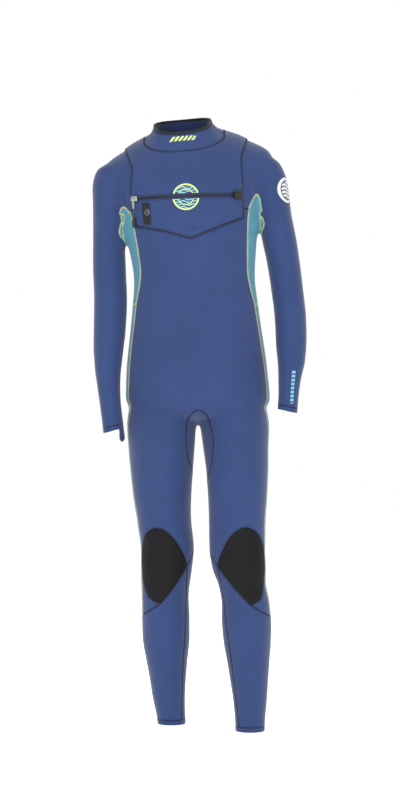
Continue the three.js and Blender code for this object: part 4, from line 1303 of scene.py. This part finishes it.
def ribs(name, x, heights, lift, half, body):
    vertices, faces = [], []
    axes = arc_axes(x)
    for z in heights:
        chamfered_block(vertices, faces, arc_place(x, lift, z), axes, half, 0.18 * MM)
    piece = new_object(name, vertices, faces, "plastic")
    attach(piece, body)


RIB = (5.6e-3, 0.35e-3, 0.42e-3)
ribs("clasp_socket_ribs", CLASP_X, (-5.6e-3, -4.1e-3, -2.6e-3), 9.0 * MM, RIB, "suit")
ribs("clasp_tongue_ribs", CLASP_X, (3.6e-3, 5.1e-3), 8.4 * MM, RIB, "chest_flap")

# The pull's stem: two cords twisted together.
stem_sewing = Sewing()
across_range = np.linspace(-19.4e-3, -35.6e-3, 40)
stem_axes = arc_axes(SLIDER_X)
for phase in (0, math.pi):
    turn = phase + (across_range - across_range[0]) / 4.2e-3 * 2 * math.pi
    offset = np.cos(turn)[:, None] * stem_axes[0] + np.sin(turn)[:, None] * stem_axes[1]
    middle = np.array([arc_place(SLIDER_X, 8.6e-3, across) for across in across_range])
    stem_sewing.strand(middle + offset * 0.55e-3, np.tile(stem_axes[1], (40, 1)), 0.62e-3, 8)
stem = stem_sewing.finish("pull_stem_cord", "rubber", "grey_rubber", "pull")
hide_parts("pull_stem")

CAD_LOOK = {
    "zip_slider_body": ("silver", 0.28),
    "pull_link": ("silver", 0.25),
    "pull_tab": ("plastic", 0.45),
    "clasp_socket": ("plastic", 0.5),
    "clasp_tongue": ("plastic", 0.5),
    "snap_stud": ("gunmetal", 0.1),
}
for node, (material, radius) in CAD_LOOK.items():
    obj = bpy.data.objects[node]
    for slot in obj.material_slots:
        slot.material = MATERIALS[material]
    bevel = obj.modifiers.new("bevel", "BEVEL")
    bevel.width = radius * MM
    bevel.segments = 3
    bevel.limit_method = "ANGLE"
    bevel.angle_limit = math.radians(35)
    obj.modifiers.new("even shading", "WEIGHTED_NORMAL")

# ---- Prints -------------------------------------------------------------------------------------------
EMBLEM = (5.7, -120.5, 25.0)  # middle x and z, and radius
BADGE_TURN = 0.6


def emblem_ring(point):
    radius = math.hypot(point[0] / MM - EMBLEM[0], point[2] / MM - EMBLEM[1])
    return EMBLEM[2] - 3.2 < radius < EMBLEM[2] - 0.4 or abs(radius - 14.5) < 0.9


def emblem_waves(point):
    x, z = point[0] / MM - EMBLEM[0], point[2] / MM - EMBLEM[1]
    radius = math.hypot(x, z)
    wave = z + 1.6 * math.sin(x / 3.4)
    return (16.4 < radius < 21.0 or radius < 12.6) and (wave % 5.2) < 2.7


def slanted_bars(point):
    x, z = point[0] / MM, point[2] / MM
    return (x - 0.7 * z) % 7.4 < 4.4


badge_middle = middle_of("sleeve_badge") / MM


def badge_pattern(point):
    along = (point[0] / MM - badge_middle[0]) * math.sin(BADGE_TURN)
    along += (point[1] / MM - badge_middle[1]) * math.cos(BADGE_TURN)
    up = point[2] / MM - badge_middle[2]
    radius = math.hypot(along, up)
    wave = up + 1.8 * math.sin(along / 4.5)
    return radius > 19.5 or (radius < 17 and (wave % 7) < 4.2)


def dashes(point):
    return (point[2] / MM) % 7.5 < 5.0


def prints(name, node, pattern, material, slot, body, lift, shown, front=True, stands_for=True):
    points, normals, triangles, owners, _ = lifted_pieces(
        [node], lift, front=front, levels=2, rounds=3, depth=4 * MM, shown=shown, pattern=pattern
    )
    faces = triangles[owners == 0]
    piece = sheet_solid(name, points, normals, faces, 0.25 * MM, material, gap=0.0, bulge=0.05)
    if stands_for:
        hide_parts(node)
    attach(piece, body)


ON_FLAP = (OUTER + 0.8 * MM, OUTER + 0.16 * MM)
ON_SLEEVE = (0.8 * MM, 0.16 * MM)
for half, body in (("upper", "chest_flap"), ("lower", "suit")):
    node = f"chest_emblem_{half}"
    prints(f"emblem_ring_{half}", node, emblem_ring, "lime", "lime_print", body, *ON_FLAP)
    prints(
        f"emblem_waves_{half}", node, emblem_waves, "teal_print", "teal_jersey", body, *ON_FLAP,
        stands_for=False,
    )
prints("collar_bars", "collar_mark", slanted_bars, "lime", "lime_print", "chest_flap", *ON_FLAP)
prints(
    "sleeve_badge_print", "sleeve_badge", badge_pattern, "white", "white_print", "suit", *ON_SLEEVE,
    front=False,
)
prints("forearm_dashes", "forearm_mark", dashes, "teal_print", "teal_jersey", "suit", *ON_SLEEVE)

# ---- Camera, light and floor --------------------------------------------------------------------------
camera_data = bpy.data.cameras.new("camera")
camera_data.lens = 106
camera_data.sensor_width = 36
camera = bpy.data.objects.new("camera", camera_data)
camera.location = (0.032, -4.5, -0.501)
camera.rotation_euler = (math.pi / 2, 0, 0)
bpy.context.scene.collection.objects.link(camera)
bpy.context.scene.camera = camera


def area_light(name, place, target, size, power):
    data = bpy.data.lights.new(name, "AREA")
    data.shape = "RECTANGLE"
    data.size, data.size_y = size
    data.energy = power
    lamp = bpy.data.objects.new(name, data)
    lamp.location = place
    lamp.rotation_euler = (Vector(target) - Vector(place)).to_track_quat("-Z", "Y").to_euler()
    bpy.context.scene.collection.objects.link(lamp)


AIM = (0.03, 0, -0.5)
area_light("key light", (-0.6, -3.4, 0.7), AIM, (1.6, 2.2), 60)
area_light("fill light", (1.6, -3.0, -0.2), AIM, (1.6, 2.4), 22)
area_light("top light", (0.1, -0.8, 2.2), AIM, (1.8, 1.4), 14)
area_light("back light", (0.3, 3.0, 0.6), AIM, (2.6, 2.2), 36)

world = bpy.data.worlds.new("studio")
world.use_nodes = True
world_nodes = world.node_tree.nodes
surround = world_nodes["Background"]
surround.inputs["Color"].default_value = (1.0, 1.0, 1.0, 1.0)
surround.inputs["Strength"].default_value = 0.62
sweep = world_nodes.new("ShaderNodeBackground")  # the white sweep behind the object
sweep.inputs["Color"].default_value = (1.0, 1.0, 1.0, 1.0)
sweep.inputs["Strength"].default_value = 1.0
ray = world_nodes.new("ShaderNodeLightPath")
chooser = world_nodes.new("ShaderNodeMixShader")
world.node_tree.links.new(ray.outputs["Is Camera Ray"], chooser.inputs["Fac"])
world.node_tree.links.new(surround.outputs["Background"], chooser.inputs[1])
world.node_tree.links.new(sweep.outputs["Background"], chooser.inputs[2])
world.node_tree.links.new(chooser.outputs["Shader"], world_nodes["World Output"].inputs["Surface"])
bpy.context.scene.world = world
bpy.context.scene.view_settings.view_transform = "Standard"

floor_nodes = Nodes("pale floor", 0.7, specular=0.2)
floor_nodes.colour(floor_nodes.ramp(floor_nodes.noise(3, 3.0), [(0.3, (0.93,) * 3), (0.7, (0.97,) * 3)]))
floor_nodes.shader.inputs["Emission Color"].default_value = (1.0, 1.0, 1.0, 1.0)
floor_nodes.shader.inputs["Emission Strength"].default_value = 0.5
MATERIALS["floor"] = floor_nodes.material
FLOOR = 6.0
floor = new_object(
    "floor",
    [(-FLOOR, -FLOOR, ankle_z), (FLOOR, -FLOOR, ankle_z), (FLOOR, FLOOR, ankle_z), (-FLOOR, FLOOR, ankle_z)],
    [(0, 1, 2, 3)],
    "floor",
)
